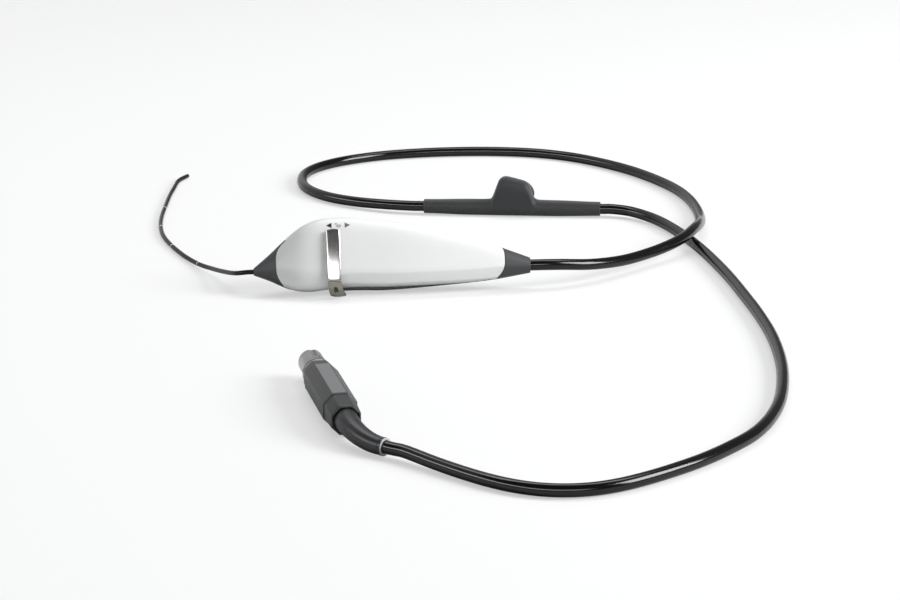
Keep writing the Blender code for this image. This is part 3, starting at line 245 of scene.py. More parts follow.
def part_frame(origin, axis, angle):
    """A turn about one axis followed by a move to the origin."""
    return Matrix.Translation(origin) @ Matrix.Rotation(angle, 4, axis)


HANDLE_FRAME = part_frame(HANDLE_AXIS, "X", -HANDLE_LEAN)
PORT_FRAME = part_frame(PORT_CENTRE, "Z", PORT_HEADING)
PLUG_FRAME = part_frame(PLUG_JOINT, "Z", PLUG_HEADING)


def placed(points, matrix):
    """Points of a part's own frame, as points of the scene."""
    points = np.asarray(points, float)
    turn = np.array(matrix.to_3x3())
    return points @ turn.T + np.array(matrix.translation)


def on_handle(x, height, depth):
    """Distance from the nose, height up the face and depth out of it, as points of the scene."""
    x, height, depth = np.broadcast_arrays(x, height, depth)
    return placed(np.stack((x - HANDLE_LENGTH / 2.0, -depth, height), axis=-1), HANDLE_FRAME)


print("handle axis runs through", [round(value, 4) for value in HANDLE_FRAME.translation])

# %% [markdown]
# ## The insertion tube
# The tube is 2.7 mm thick and leaves the nose at the hand piece's own height. It dips to the table
# and sweeps round to the back. A cord that lies free follows no formula, so its points are given,
# and they are the imported cord's points, written in millimetres.

# %% Insertion tube
TUBE_RADIUS = 0.00135
TUBE_SIDES = 20
TUBE_SPACING = 0.0015
TIP_HEADING = math.radians(84.0)
TIP_RUN_ON = 0.036
TUBE_ROUTE = np.array((
    (-84.9, -0.7, 12.8), (-87.9, 3.4, 11.6), (-90.6, 10.0, 10.1), (-94.0, 19.4, 8.3),
    (-98.0, 31.0, 6.3), (-102.6, 44.2, 4.3), (-107.2, 55.6, 2.9), (-112.4, 69.0, 1.9),
    (-119.4, 88.0, 1.45), (-127.0, 113.0, 1.45), (-132.4, 137.7, 1.45), (-134.6, 163.0, 1.45),
    (-134.6, 187.0, 1.45), (-133.2, 212.0, 1.45), (-130.8, 246.0, 1.45))) * MM
TUBE_LEAD_OUT = (0.003,)
CABLE_LEAD_OUT = (0.003, 0.008)
BOOT_LEAD_OUT = (0.014, 0.007)


def way_out(matrix, mouth, direction, lead_out):
    """Points along a frame's X axis: the seat in a socket, then straight out of its mouth."""
    seat = mouth - direction * (SOCKET_DEPTH - SEAT_GAP)
    steps = np.array((0.0, SOCKET_DEPTH, *(SOCKET_DEPTH + step for step in lead_out)))
    points = np.zeros((len(steps), 3))
    points[:, 0] = seat + direction * steps
    return placed(points, matrix)


tip_way = np.array((math.cos(TIP_HEADING), math.sin(TIP_HEADING), 0.0))
tube_start = way_out(HANDLE_FRAME, -HANDLE_LENGTH / 2.0, -1.0, TUBE_LEAD_OUT)
tube_end = TUBE_ROUTE[-1] + TIP_RUN_ON * tip_way
tube_route = np.vstack((tube_start, TUBE_ROUTE, (TUBE_ROUTE[-1] + tube_end) / 2.0, tube_end))
tube_path = smooth_path(tube_route, TUBE_SPACING)
tube = swept_tube("insertion_tube_skin", tube_path, TUBE_RADIUS, TUBE_SIDES)
print("insertion tube:", round(path_length(tube_path), 4), "m")

# %% [markdown]
# ## The cable
# The cable is 6.4 mm thick. Its first stretch leaves the tail, rises over the second one and makes
# a wide loop to the sleeve. The second leaves the sleeve's other end, passes under the first, comes
# round the front to the plug's boot and runs on inside it to the plug. Where a stretch leaves a
# socket it first runs straight on, because a stiff jacket doesn't kink there.

# %% Cable
CABLE_RADIUS = 0.0032
CABLE_SIDES = 28
CABLE_SPACING = 0.003
PORT_LENGTH = 0.1108
LOOP_ROUTE = np.array((
    (97.0, 0.6, 12.6), (115.0, 8.6, 10.2), (134.5, 24.0, 8.0), (153.0, 42.0, 7.6),
    (167.0, 55.4, 8.8), (177.4, 69.0, 10.0), (185.2, 86.0, 10.2), (191.7, 107.0, 8.0),
    (197.0, 134.0, 4.6), (199.8, 166.0, 3.25), (199.0, 196.0, 3.25), (194.7, 224.0, 3.25),
    (185.7, 252.8, 3.25), (173.0, 281.3, 3.25), (156.2, 307.0, 3.25), (138.1, 327.0, 3.25),
    (117.0, 341.0, 3.25), (92.3, 349.0, 3.25), (65.0, 352.0, 3.25), (37.6, 350.5, 3.25),
    (10.0, 344.0, 3.25), (-14.5, 331.0, 3.25), (-32.0, 314.0, 3.25), (-42.0, 294.0, 3.25),
    (-44.8, 273.0, 3.25), (-43.0, 253.4, 3.25), (-36.5, 236.0, 3.25), (-25.5, 219.5, 3.4),
    (-9.5, 204.0, 4.0), (8.0, 192.6, 4.7))) * MM
REAR_ROUTE = np.array((
    (158.4, 158.4, 4.3), (170.8, 139.0, 3.5), (180.0, 106.0, 3.25), (187.0, 62.0, 3.25),
    (192.0, 8.0, 3.25), (194.3, -42.0, 3.25), (195.4, -88.0, 3.25), (194.4, -132.8, 3.25),
    (189.6, -183.0, 3.25), (180.4, -231.0, 3.25), (169.6, -265.0, 3.25), (156.6, -291.6, 3.25),
    (140.8, -312.4, 3.25), (125.8, -328.6, 3.25), (111.1, -341.4, 3.25), (97.4, -351.8, 3.25),
    (84.0, -360.0, 3.25), (71.2, -364.8, 3.25), (59.1, -365.8, 3.25), (47.3, -363.4, 3.25),
    (35.9, -357.4, 3.25), (24.6, -347.8, 3.25), (13.2, -335.5, 3.4), (2.2, -322.6, 3.8))) * MM
BOOT_END_RADIUS = 0.0045
RING_RISE = 0.00025


def boot_middle(share):
    """The boot's centreline: an arc that turns aside while it sinks smoothly to the cable's height."""
    share = np.asarray(share, float)
    bend_radius = BOOT_LENGTH / BOOT_BEND
    drop = PLUG_JOINT.z - BOOT_END_RADIUS - RING_RISE
    heading = BOOT_BEND * share
    rise = share * share * (3.0 - 2.0 * share)
    return np.stack((-SEAT_GAP - bend_radius * np.sin(heading),
                     -bend_radius * (1.0 - np.cos(heading)), -drop * rise), axis=-1)


boot_end = boot_middle(1.0)
boot_way = np.array((-math.cos(BOOT_BEND), -math.sin(BOOT_BEND), 0.0))
port_in = way_out(PORT_FRAME, -PORT_LENGTH / 2.0, -1.0, CABLE_LEAD_OUT)
port_out = way_out(PORT_FRAME, PORT_LENGTH / 2.0, 1.0, CABLE_LEAD_OUT)
tail_out = way_out(HANDLE_FRAME, HANDLE_LENGTH / 2.0, 1.0, CABLE_LEAD_OUT)
boot_steps = np.array((*BOOT_LEAD_OUT, SEAT_GAP))[:, None]
boot_in = placed(boot_end + boot_steps * boot_way, PLUG_FRAME)
front_path = smooth_path(np.vstack((tail_out, LOOP_ROUTE, port_in[::-1])), CABLE_SPACING)
through_boot = placed(boot_middle(np.linspace(0.8, 0.0, 5)), PLUG_FRAME)
rear_path = smooth_path(np.vstack((port_out, REAR_ROUTE, boot_in, through_boot)), CABLE_SPACING)
front_cable = swept_tube("cable_front_jacket", front_path, CABLE_RADIUS, CABLE_SIDES)
rear_cable = swept_tube("cable_rear_jacket", rear_path, CABLE_RADIUS, CABLE_SIDES)
print("cable:", round(path_length(front_path), 4), "m and", round(path_length(rear_path), 4), "m")

# %% [markdown]
# ## The hand piece's outline
# The two shells and the two cones share one form. Along the hand piece four smooth curves give the
# top edge, the bottom edge, the half depth and how square the section is. Across it the section is
# a squared ellipse, and below a soft crease the face turns under as a flat facet. It could be
# sculpted, but all four pieces and the lever read these curves, so they fit without trial.

# %% Curves along the hand piece
TOP_EDGE = ((0.0, 1.9), (0.055, 9.1), (0.102, 15.8), (0.166, 23.8), (0.238, 28.3), (0.31, 29.1),
            (0.416, 27.7), (0.56, 24.3), (0.70, 19.2), (0.846, 13.0), (0.94, 7.8), (1.0, 4.3))
BOTTOM_EDGE = ((0.0, -1.9), (0.06, -5.4), (0.113, -9.1), (0.16, -11.4), (0.20, -11.8), (0.262, -10.9),
               (0.32, -10.0), (0.49, -10.1), (0.63, -9.6), (0.774, -8.6), (0.874, -7.2), (1.0, -4.3))
HALF_DEPTH = ((0.0, 1.9), (0.06, 6.0), (0.11, 9.4), (0.17, 12.6), (0.23, 13.9), (0.27, 14.0),
              (0.40, 14.0), (0.56, 13.2), (0.75, 10.6), (0.90, 7.6), (1.0, 4.3))
SQUARENESS = ((0.0, 2.0), (0.08, 2.3), (0.2, 3.4), (0.3, 3.8), (0.7, 3.6), (0.88, 2.8), (1.0, 2.0))
SEAM_DEPTH = 0.002
SEAM_MOST = 0.25
CREASE_HEIGHT = 0.0054
CREASE_MOST = 0.3
CREASE_SOFTNESS = 0.0005
FACET_SLOPE = 0.95
LEAST_SLOPE = 0.01
FACET_RISE = (0.034, 0.050)
UNDER_LIP = 0.0012
UNDER_LIP_RISE = (0.046, 0.052)
UNDER_LIP_FALL = (0.067, 0.122)
TUCK = 0.0010
TUCK_RISE = (0.019, 0.026)
TUCK_FALL = (0.040, 0.047)


def smooth_curve(table, x, unit=MM):
    """A Hermite curve through (share of the length, value) points, read at many places at once."""
    knots = np.array(table, float)
    places = knots[:, 0] * HANDLE_LENGTH
    values = knots[:, 1] * unit
    slopes = np.gradient(values, places)
    i = np.clip(np.searchsorted(places, x, side="right") - 1, 0, len(places) - 2)
    span = places[i + 1] - places[i]
    t = (x - places[i]) / span
    return ((2 * t**3 - 3 * t**2 + 1) * values[i] + (t**3 - 2 * t**2 + t) * span * slopes[i]
            + (3 * t**2 - 2 * t**3) * values[i + 1] + (t**3 - t**2) * span * slopes[i + 1])


def ease(value, low, high):
    """0 below low, 1 above high, and a smooth rise between."""
    t = np.clip((value - low) / (high - low), 0.0, 1.0)
    return t * t * (3.0 - 2.0 * t)


def soft_least(a, b, softness):
    """The lesser of two values, with the corner between them rounded off."""
    return 0.5 * (a + b - np.sqrt((a - b)**2 + softness**2)) + 0.5 * softness


def seam(x):
    """Depth of the joint between the two shells, a little behind the middle."""
    return -np.minimum(SEAM_DEPTH, SEAM_MOST * smooth_curve(HALF_DEPTH, x))


def squared_ellipse(top, bottom, depth, power, turn):
    """Height and depth at a turn from the top edge (0) round to the bottom edge (pi)."""
    cosine = np.cos(turn)
    height = (top + bottom) / 2.0 + (top - bottom) / 2.0 * np.sign(cosine) * np.abs(cosine)**power
    return height, depth * np.abs(np.sin(turn))**power


def face_side(x, turn):
    """The face: a squared ellipse whose lower part is cut by a facet that turns under."""
    top = smooth_curve(TOP_EDGE, x)
    bottom = smooth_curve(BOTTOM_EDGE, x)
    depth = smooth_curve(HALF_DEPTH, x)
    power = 2.0 / smooth_curve(SQUARENESS, x, 1.0)
    crease = np.minimum(CREASE_HEIGHT, CREASE_MOST * (top - bottom))
    share = 1.0 - 2.0 * crease / (top - bottom)
    crease_turn = np.pi - np.arccos(share**(1.0 / power))
    crease_height, crease_depth = squared_ellipse(top, bottom, depth, power, crease_turn)
    height, reach = squared_ellipse(top, bottom, depth, power, turn)
    slope = FACET_SLOPE * ease(x, *FACET_RISE)
    facet = np.maximum(crease_depth - slope * (crease_height - height), 0.0)
    cut = soft_least(reach, facet, CREASE_SOFTNESS)
    above = ease(height, crease_height - CREASE_SOFTNESS, crease_height + 2.0 * CREASE_SOFTNESS)
    creased = above * reach + (1.0 - above) * np.minimum(cut, reach)
    return height, np.where(slope > LEAST_SLOPE, np.maximum(creased, 0.0), reach)


def under_lip(x):
    """How far the back shell's lower edge stands below the front shell's."""
    return UNDER_LIP * ease(x, *UNDER_LIP_RISE) * (1.0 - ease(x, *UNDER_LIP_FALL))


def tuck(x):
    """How far the back shell's lower edge is drawn up behind the face, ahead of the lever."""
    return TUCK * ease(x, *TUCK_RISE) * (1.0 - ease(x, *TUCK_FALL))


def hidden_side(x, turn):
    """The back: the same squared ellipse behind the seam, with a lower edge that stands proud."""
    top = smooth_curve(TOP_EDGE, x)
    bottom = smooth_curve(BOTTOM_EDGE, x) - under_lip(x) + tuck(x)
    depth = smooth_curve(HALF_DEPTH, x) + seam(x)
    power = 2.0 / smooth_curve(SQUARENESS, x, 1.0)
    height, reach = squared_ellipse(top, bottom, depth, power, turn)
    return height, seam(x) - reach


middle_x = HANDLE_LENGTH / 2.0
print("height at the middle:", np.round(smooth_curve(TOP_EDGE, np.array(middle_x)) / MM, 2), "mm")

# %% [markdown]
# ## Where the cones meet the shells
# The joint line isn't square to the hand piece: it bulges towards each cone. A boolean could cut it
# and would leave a ragged rim, so the grids start and end on the line itself. For every turn round
# the section, the crossing with the joint line is found by halving an interval, all at once.

# %% Joint lines
SHELL_START = 0.0127
SHELL_END_FROM_TAIL = 0.0148
EDGE_MIDDLE = 0.003
NOSE_EDGE_SPAN = 0.0074
TAIL_EDGE_SPAN = 0.0058
EDGE_ROUNDNESS = 7.3
EDGE_REACH = 0.006
BEND_WEIGHT = 0.009
FACE_COLUMNS = 112
BACK_COLUMNS = 96
HALVINGS = 30


def bulge(height, span):
    """The joint line's shift from the cone: a cubic curve away from its middle height."""
    return np.minimum(np.abs(height - EDGE_MIDDLE)**3 / (EDGE_ROUNDNESS * span**2), EDGE_REACH)


def joint_line(side, turn, at_nose):
    """For each turn round the section, the place along the hand piece where the joint line crosses."""
    span = NOSE_EDGE_SPAN if at_nose else TAIL_EDGE_SPAN
    base = SHELL_START if at_nose else HANDLE_LENGTH - SHELL_END_FROM_TAIL
    way = 1.0 if at_nose else -1.0
    near = np.zeros_like(turn)
    far = np.full_like(turn, EDGE_REACH * 1.01)
    for _ in range(HALVINGS):
        middle = (near + far) / 2.0
        height, _ = side(base + way * middle, turn)
        short = middle < bulge(height, span)
        near = np.where(short, middle, near)
        far = np.where(short, far, middle)
    return base + way * (near + far) / 2.0


def even_turns(side, count):
    """Turns spaced by the outline's length at the middle, and more closely where it bends."""
    fine = np.linspace(0.0, np.pi, 4000)
    height, depth = side(np.full_like(fine, middle_x), fine)
    way = np.unwrap(np.arctan2(np.diff(depth), np.diff(height)))
    bend = np.abs(np.diff(way, append=way[-1:]))
    step = np.hypot(np.diff(height), np.diff(depth)) + BEND_WEIGHT * bend
    along = np.concatenate(([0.0], np.cumsum(step)))
    return np.interp(np.linspace(0.0, along[-1], count), along, fine)


face_turns = even_turns(face_side, FACE_COLUMNS)
back_turns = even_turns(hidden_side, BACK_COLUMNS)
nose_line = joint_line(face_side, face_turns, True)
print("nose joint line runs from", round(nose_line.min() / MM, 1), "to", round(nose_line.max() / MM, 1), "mm")

# %% [markdown]
# ## The two shells
# The casing is two mouldings that meet at a seam. Each is a grid: rows from one joint line to the
# other, columns from the top seam to the bottom seam. A solid body could be split and hollowed, but
# an open grid needs only Solidify for its moulded wall. A small bevel rounds the rims, which is
# where the pale edge lines of the real shells come from.

# %% Shells
SHELL_WALL = 0.0018
RIM_ROUND = 0.0006
RIM_ANGLE = math.radians(60.0)
SHELL_ROWS = 170


def shell_grid(side, turns):
    """Points of one shell, by row and column, from one joint line to the other."""
    start = joint_line(side, turns, True)
    end = joint_line(side, turns, False)
    share = np.linspace(0.0, 1.0, SHELL_ROWS)[:, None]
    x = start[None, :] + share * (end - start)[None, :]
    return x, *side(x, np.broadcast_to(turns, x.shape))


def face_grid():
    """The front shell's points. One more column at each edge draws it back to the seam."""
    x, height, depth = shell_grid(face_side, face_turns)
    wall = seam(x)
    x = np.column_stack((x[:, :1], x, x[:, -1:]))
    height = np.column_stack((height[:, :1], height, height[:, -1:]))
    depth = np.column_stack((wall[:, :1], depth, wall[:, -1:]))
    return on_handle(x, height, depth)


def back_grid():
    """The back shell's points, none of them nearer to the front shell than the gap at the seam."""
    x, height, depth = shell_grid(hidden_side, back_turns)
    return on_handle(x, height, np.minimum(depth, seam(x) - SEAT_GAP))


def wall_shell(name, points):
    """A grid turned into a moulded shell with rounded rims."""
    rows, columns = points.shape[:2]
    piece = mesh_piece(name, points.reshape(-1, 3), grid_faces(rows, columns, closed=False))
    middle_face = piece.data.polygons[len(piece.data.polygons) // 2]
    if middle_face.normal.dot(middle_face.center - HANDLE_FRAME.translation) < 0.0:
        piece.data.flip_normals()
    wall = piece.modifiers.new("wall", "SOLIDIFY")
    wall.thickness = SHELL_WALL
    wall.offset = -1.0
    wall.use_even_offset = True
    rim = piece.modifiers.new("rim", "BEVEL")
    rim.width = RIM_ROUND
    rim.segments = 4
    rim.limit_method = "ANGLE"
    rim.angle_limit = RIM_ANGLE
    return piece


front_shell = wall_shell("front_shell_face", face_grid())
back_shell = wall_shell("back_shell_skin", back_grid())
print("shells:", len(front_shell.data.polygons), "and", len(back_shell.data.polygons), "faces without walls")

# %% [markdown]
# ## The two cones
# The cones are soft mouldings that go over from the round tube or cable to the casing's squared
# outline, which a cone primitive can't do. Each is one closed surface: out of its socket, over the
# lip, along the outside to the joint line, over an edge and back inside the shells as a spigot.

# %% Cones
CONE_ROWS = 40
CONE_COLUMNS = 36
CONE_FIRST_TURN = 0.02
SPIGOT_REACH = 0.006
SPIGOT_INSET = 0.0021
CONE_EDGE = 0.0003


def whole_section(x, turns):
    """Both sides of the section as one closed ring: down the face and up the back."""
    x = np.asarray(x, float)
    front_height, front_depth = face_side(x[..., :len(turns)], turns)
    back_height, back_depth = hidden_side(x[..., len(turns):], turns[::-1])
    return np.concatenate((front_height, back_height), -1), np.concatenate((front_depth, back_depth), -1)


def inward(height, depth, amount):
    """The ring drawn in towards its own middle by an amount, but to no less than a fifth."""
    middle_height = height.mean(axis=-1, keepdims=True)
    middle_depth = depth.mean(axis=-1, keepdims=True)
    reach = np.hypot(height - middle_height, depth - middle_depth)
    keep = np.maximum(reach - amount, 0.2 * reach) / reach
    return middle_height + (height - middle_height) * keep, middle_depth + (depth - middle_depth) * keep


def cone(name, at_nose, bore_radius):
    """The closed surface of one cone, as a list of rings from its bore to its spigot."""
    turns = np.linspace(CONE_FIRST_TURN, np.pi - CONE_FIRST_TURN, CONE_COLUMNS)
    tip = 0.0 if at_nose else HANDLE_LENGTH
    way = 1.0 if at_nose else -1.0
    line = joint_line(face_side, turns, at_nose)
    edge = np.concatenate((line, line[::-1])) - way * SEAT_GAP
    share = np.linspace(0.0, 1.0, CONE_ROWS)[:, None]
    x = tip + share * (edge - tip)[None, :]
    height, depth = whole_section(x, turns)
    rings = [on_handle(x, height, depth)]
    end_x = np.broadcast_to(edge, (1, len(edge)))
    spigot = ((0.0, 2.0 * CONE_EDGE), (0.0, SPIGOT_INSET), (SPIGOT_REACH, SPIGOT_INSET + CONE_EDGE))
    for step, amount in spigot:
        drawn = inward(height[-1:], depth[-1:], amount)
        rings.append(on_handle(end_x + way * step, *drawn))
    around = np.arctan2(depth[0], height[0])
    bore_height = bore_radius * np.cos(around)
    bore_depth = bore_radius * np.sin(around)
    mouth = [on_handle(np.full_like(around, tip + way * step), bore_height, bore_depth)[None]
             for step in (SOCKET_DEPTH, 0.0)]
    return closed_loft(name, np.vstack((*mouth, *rings)))


nose_cone = cone("nose_cone_moulding", True, TUBE_RADIUS + SEAT_GAP)
tail_cone = cone("tail_cone_moulding", False, CABLE_RADIUS + SEAT_GAP)
print("cones have", len(nose_cone.data.polygons), "faces each")

# %% [markdown]
# ## Finishing helpers
# A turned piece is a profile carried round an axis. A soft edge is what makes a moulding or a turned
# part catch light, so most pieces end with a small bevel. Holes are real cuts, made with a helper
# body that is removed afterwards.

# %% Turned pieces, soft edges and cuts
TURNED_SIDES = 96


def soft_edges(piece, width, segments=3, angle=35.0):
    """A bevel on every edge that is sharper than the angle."""
    rim = piece.modifiers.new("soft edges", "BEVEL")
    rim.width = width
    rim.segments = segments
    rim.limit_method = "ANGLE"
    rim.angle_limit = math.radians(angle)
    rim.harden_normals = True
    return piece


def turned(name, profile, matrix, axis="X", centre=(0.0, 0.0, 0.0), sides=TURNED_SIDES, edge=0.0):
    """A closed piece: (along, radius) points turned about the frame's X or Y axis, with closed ends."""
    profile = np.asarray(profile, float)
    turn = np.linspace(0.0, 2.0 * np.pi, sides, endpoint=False)
    along = np.broadcast_to(profile[:, :1], (len(profile), sides))
    one = profile[:, 1:] * np.cos(turn)
    two = profile[:, 1:] * np.sin(turn)
    grid = (along, one, two) if axis == "X" else (one, along, two)
    piece = closed_loft(name, placed(np.stack(grid, axis=-1) + np.asarray(centre), matrix))
    return soft_edges(piece, edge) if edge > 0.0 else piece


def applied(piece):
    """The piece with its modifiers worked into its mesh."""
    bpy.context.view_layer.update()
    graph = bpy.context.evaluated_depsgraph_get()
    mesh = bpy.data.meshes.new_from_object(piece.evaluated_get(graph))
    piece.modifiers.clear()
    piece.data = mesh
    return piece


def combined(piece, helper, operation):
    """A boolean with a helper body, which is then removed."""
    step = piece.modifiers.new("step", "BOOLEAN")
    step.operation = operation
    step.solver = "EXACT"
    step.object = helper
    applied(piece)
    bpy.data.objects.remove(helper)
    piece.data.set_sharp_from_angle(angle=math.radians(40.0))
    return piece


print("helpers for turned pieces and cuts are ready")

# %% [markdown]
# ## Holes in the shells
# The lever's shaft comes through a round hole in the face. Three screws hold the back shell on:
# their heads sit in counterbored bosses, so the bosses are joined to the wall first and the holes
# are cut through both.

# %% Shaft hole and screw wells
LEVER_STATION = 0.045
PIVOT_HEIGHT = 0.006
BUSH_HOLE = 0.00406
HOLE_SIDES = 64
WELL_SIDES = 48
SCREWS = ((0.030, 0.0), (0.062, 0.008), (0.120, 0.0))
SCREW_HEAD = 0.0021
SCREW_SHANK = 0.0010
SCREW_SUNK = 0.0009
SCREW_HEAD_HEIGHT = 0.0015
BOSS_WALL = 0.001
BOSS_DEPTH = 0.0035
CUT_PAST = 0.004


def on_axis(x, height):
    """The frame point of a feature that runs straight through the hand piece."""
    return (x - HANDLE_LENGTH / 2.0, 0.0, height)


applied(front_shell)
face_depth = float(smooth_curve(HALF_DEPTH, np.array(LEVER_STATION)))
hole = turned("shaft_hole", ((-face_depth - CUT_PAST, BUSH_HOLE), (-face_depth + CUT_PAST, BUSH_HOLE)),
              HANDLE_FRAME, "Y", on_axis(LEVER_STATION, PIVOT_HEIGHT), HOLE_SIDES)
combined(front_shell, hole, "DIFFERENCE")
applied(back_shell)
for x, lift in SCREWS:
    ends = smooth_curve(TOP_EDGE, np.array(x)) + smooth_curve(BOTTOM_EDGE, np.array(x))
    centre = on_axis(x, float(ends) / 2.0 + lift)
    outside = float(smooth_curve(HALF_DEPTH, np.array(x)))
    seat = outside - SCREW_SUNK - SCREW_HEAD_HEIGHT - SEAT_GAP
    boss = ((seat - BOSS_DEPTH, SCREW_HEAD + SEAT_GAP + BOSS_WALL),
            (outside - SHELL_WALL / 2.0, SCREW_HEAD + SEAT_GAP + BOSS_WALL))
    well = ((seat - BOSS_DEPTH - CUT_PAST, SCREW_SHANK + SEAT_GAP), (seat, SCREW_SHANK + SEAT_GAP),
            (seat, SCREW_HEAD + SEAT_GAP), (outside + CUT_PAST, SCREW_HEAD + SEAT_GAP))
    combined(back_shell, turned("boss", boss, HANDLE_FRAME, "Y", centre, WELL_SIDES), "UNION")
    combined(back_shell, turned("well", well, HANDLE_FRAME, "Y", centre, WELL_SIDES), "DIFFERENCE")
shell_faces = (len(front_shell.data.polygons), len(back_shell.data.polygons))
print("shells after their cuts:", *shell_faces, "faces")

# %% [markdown]
# ## The lever
# The lever is a bowed metal strap on the face, with an arched top end, and a curled thumb plate
# below it that steps aside as it rounds the hand piece's lower edge. A bent box would be thinner
# where it curls. Both pieces are one section, a rectangle with rounded edges and a slight crown,
# carried along one path with its thickness kept: a long bow, then a curl.

# %% Strap and thumb plate
STRAP_TOP = 0.0221
STRAP_BOTTOM = -0.0070
STRAP_WIDTH = 0.0076
STRAP_THICKNESS = 0.0016
STRAP_LIFT = 0.0010
STRAP_BOW_RADIUS = 0.110
STRAP_END_ARC = 0.0007
STRAP_CROWN = 0.00045
STRAP_EDGE = 0.00035
THUMB_BEND_RADIUS = 0.0081
THUMB_WIDTH = 0.0086
THUMB_STEP = 0.0024
THUMB_STEP_CURVE = 1.5
THUMB_END = math.radians(-92.0)
DIMPLE_TURN = math.radians(-49.0)
DIMPLE_RADIUS = 0.0017
DIMPLE_DEPTH = 0.0006
DIMPLE_OVAL = (1.15, 0.62)
DIMPLE_FLOOR = 0.6
OUTER_FACE = 0.3
STRAP_TRIM = 0.0022
SIDE_POWER = 0.22
EDGE_POWER = 0.42
OUTLINE_POINTS = 160
ARM_STOPS = 60
THUMB_STOPS = 96
ARCH_REACH = 0.006
JOINT_DROP = 0.0014
strap_middle = (STRAP_TOP + STRAP_BOTTOM) / 2.0


def dimple_reach(x, past):
    """Distance from the dimple's middle, measured on the outer face, as an upright oval."""
    wider, taller = DIMPLE_OVAL
    return np.hypot(wider * x, taller * past * (1.0 + STRAP_THICKNESS / THUMB_BEND_RADIUS))


def strap_depth(height):
    """Depth of the strap's underside: the face, a lift, and a gentle bow along the strap."""
    return face_depth + STRAP_LIFT - (height - strap_middle)**2 / (2.0 * STRAP_BOW_RADIUS)


def stops(length, count):
    """Distances along a piece, crowded into a quarter circle's spacing at both rounded ends."""
    turn = np.linspace(0.0, np.pi / 2.0, 7)
    start = STRAP_EDGE * (1.0 - np.cos(turn))
    return np.concatenate((start, np.linspace(STRAP_EDGE, length - STRAP_EDGE, count)[1:-1],
                           length - start[::-1]))


def end_inset(along, length):
    """How far the section draws in at a distance from either end: the ends are quarter rounds."""
    near = np.clip(STRAP_EDGE - np.minimum(along, length - along), 0.0, STRAP_EDGE)
    return STRAP_EDGE - np.sqrt(STRAP_EDGE**2 - near**2)


curl_start = STRAP_TOP - STRAP_BOTTOM + SEAT_GAP
curl_tilt = (STRAP_BOTTOM - SEAT_GAP - strap_middle) / STRAP_BOW_RADIUS
curl_length = THUMB_BEND_RADIUS * (curl_tilt - THUMB_END)


def lever_path(walked):
    """Height, depth and tilt of the underside: a bow as far as the curl's start, then a tight arc."""
    bow_height = np.maximum(STRAP_TOP - walked, STRAP_BOTTOM - SEAT_GAP)
    past = np.maximum(walked - curl_start, 0.0)
    tilt = (bow_height - strap_middle) / STRAP_BOW_RADIUS - past / THUMB_BEND_RADIUS
    drop = THUMB_BEND_RADIUS * (np.sin(tilt) - math.sin(curl_tilt))
    draw = THUMB_BEND_RADIUS * (np.cos(tilt) - math.cos(curl_tilt))
    height = bow_height + np.where(past > 0.0, drop, 0.0)
    return height, strap_depth(bow_height) + np.where(past > 0.0, draw, 0.0), tilt


def even_outline(count):
    """Turns that lie evenly along the strap's squarish outline, where equal turns would bunch up.

    Fine turns, crowded towards both ends of each quarter, are walked along and then spaced evenly.
    """
    s = np.linspace(0.0, 1.0, 2001)
    quarter = np.pi / 2.0 * s**6 / (s**6 + (1.0 - s)**6)
    fine = np.concatenate([quarter[:-1] + k * np.pi / 2.0 for k in range(4)] + [[2.0 * np.pi]])
    x = np.sign(np.cos(fine)) * np.abs(np.cos(fine))**SIDE_POWER * STRAP_WIDTH / 2.0
    y = np.sign(np.sin(fine)) * np.abs(np.sin(fine))**EDGE_POWER * STRAP_THICKNESS / 2.0
    walked = np.concatenate(([0.0], np.cumsum(np.hypot(np.diff(x), np.diff(y)))))
    return np.interp(np.linspace(0.0, walked[-1], count, endpoint=False), walked, fine)


def strap_rings(along, start, length, arch, dimple=None):
    """Rings of the crowned section. Each row is one stop, with its own tilt, width and side step."""
    height, depth, tilt = lever_path(start + along)
    share = np.clip((start + along - curl_start) / curl_length, 0.0, 1.0)
    width = STRAP_WIDTH + (THUMB_WIDTH - STRAP_WIDTH) * share
    aside = THUMB_STEP * share**THUMB_STEP_CURVE
    turn = even_outline(OUTLINE_POINTS)[None, :]
    across = np.sign(np.cos(turn)) * np.abs(np.cos(turn))**SIDE_POWER
    rise = np.sign(np.sin(turn)) * np.abs(np.sin(turn))**EDGE_POWER
    inset = end_inset(along, length)[:, None]
    half = width[:, None] / 2.0 - inset
    thick = STRAP_THICKNESS / 2.0
    lift = thick + (thick - inset) * rise + STRAP_CROWN * (1.0 - across**2) * (rise + 1.0) / 2.0
    x = half * across
    if dimple is not None:
        reach = dimple_reach(x, start + along[:, None] - dimple)
        hollow = 1.0 - ease(reach, DIMPLE_FLOOR * DIMPLE_RADIUS, DIMPLE_RADIUS)
        lift = lift - DIMPLE_DEPTH * hollow * (rise > OUTER_FACE)
    tilt = tilt[:, None]
    arc = arch[:, None] * (1.0 - across**2)
    rings_height = height[:, None] + np.sin(tilt) * lift + np.cos(tilt) * arc
    rings_depth = depth[:, None] + np.cos(tilt) * lift - np.sin(tilt) * arc
    return on_handle(LEVER_STATION + aside[:, None] + x, rings_height, rings_depth)


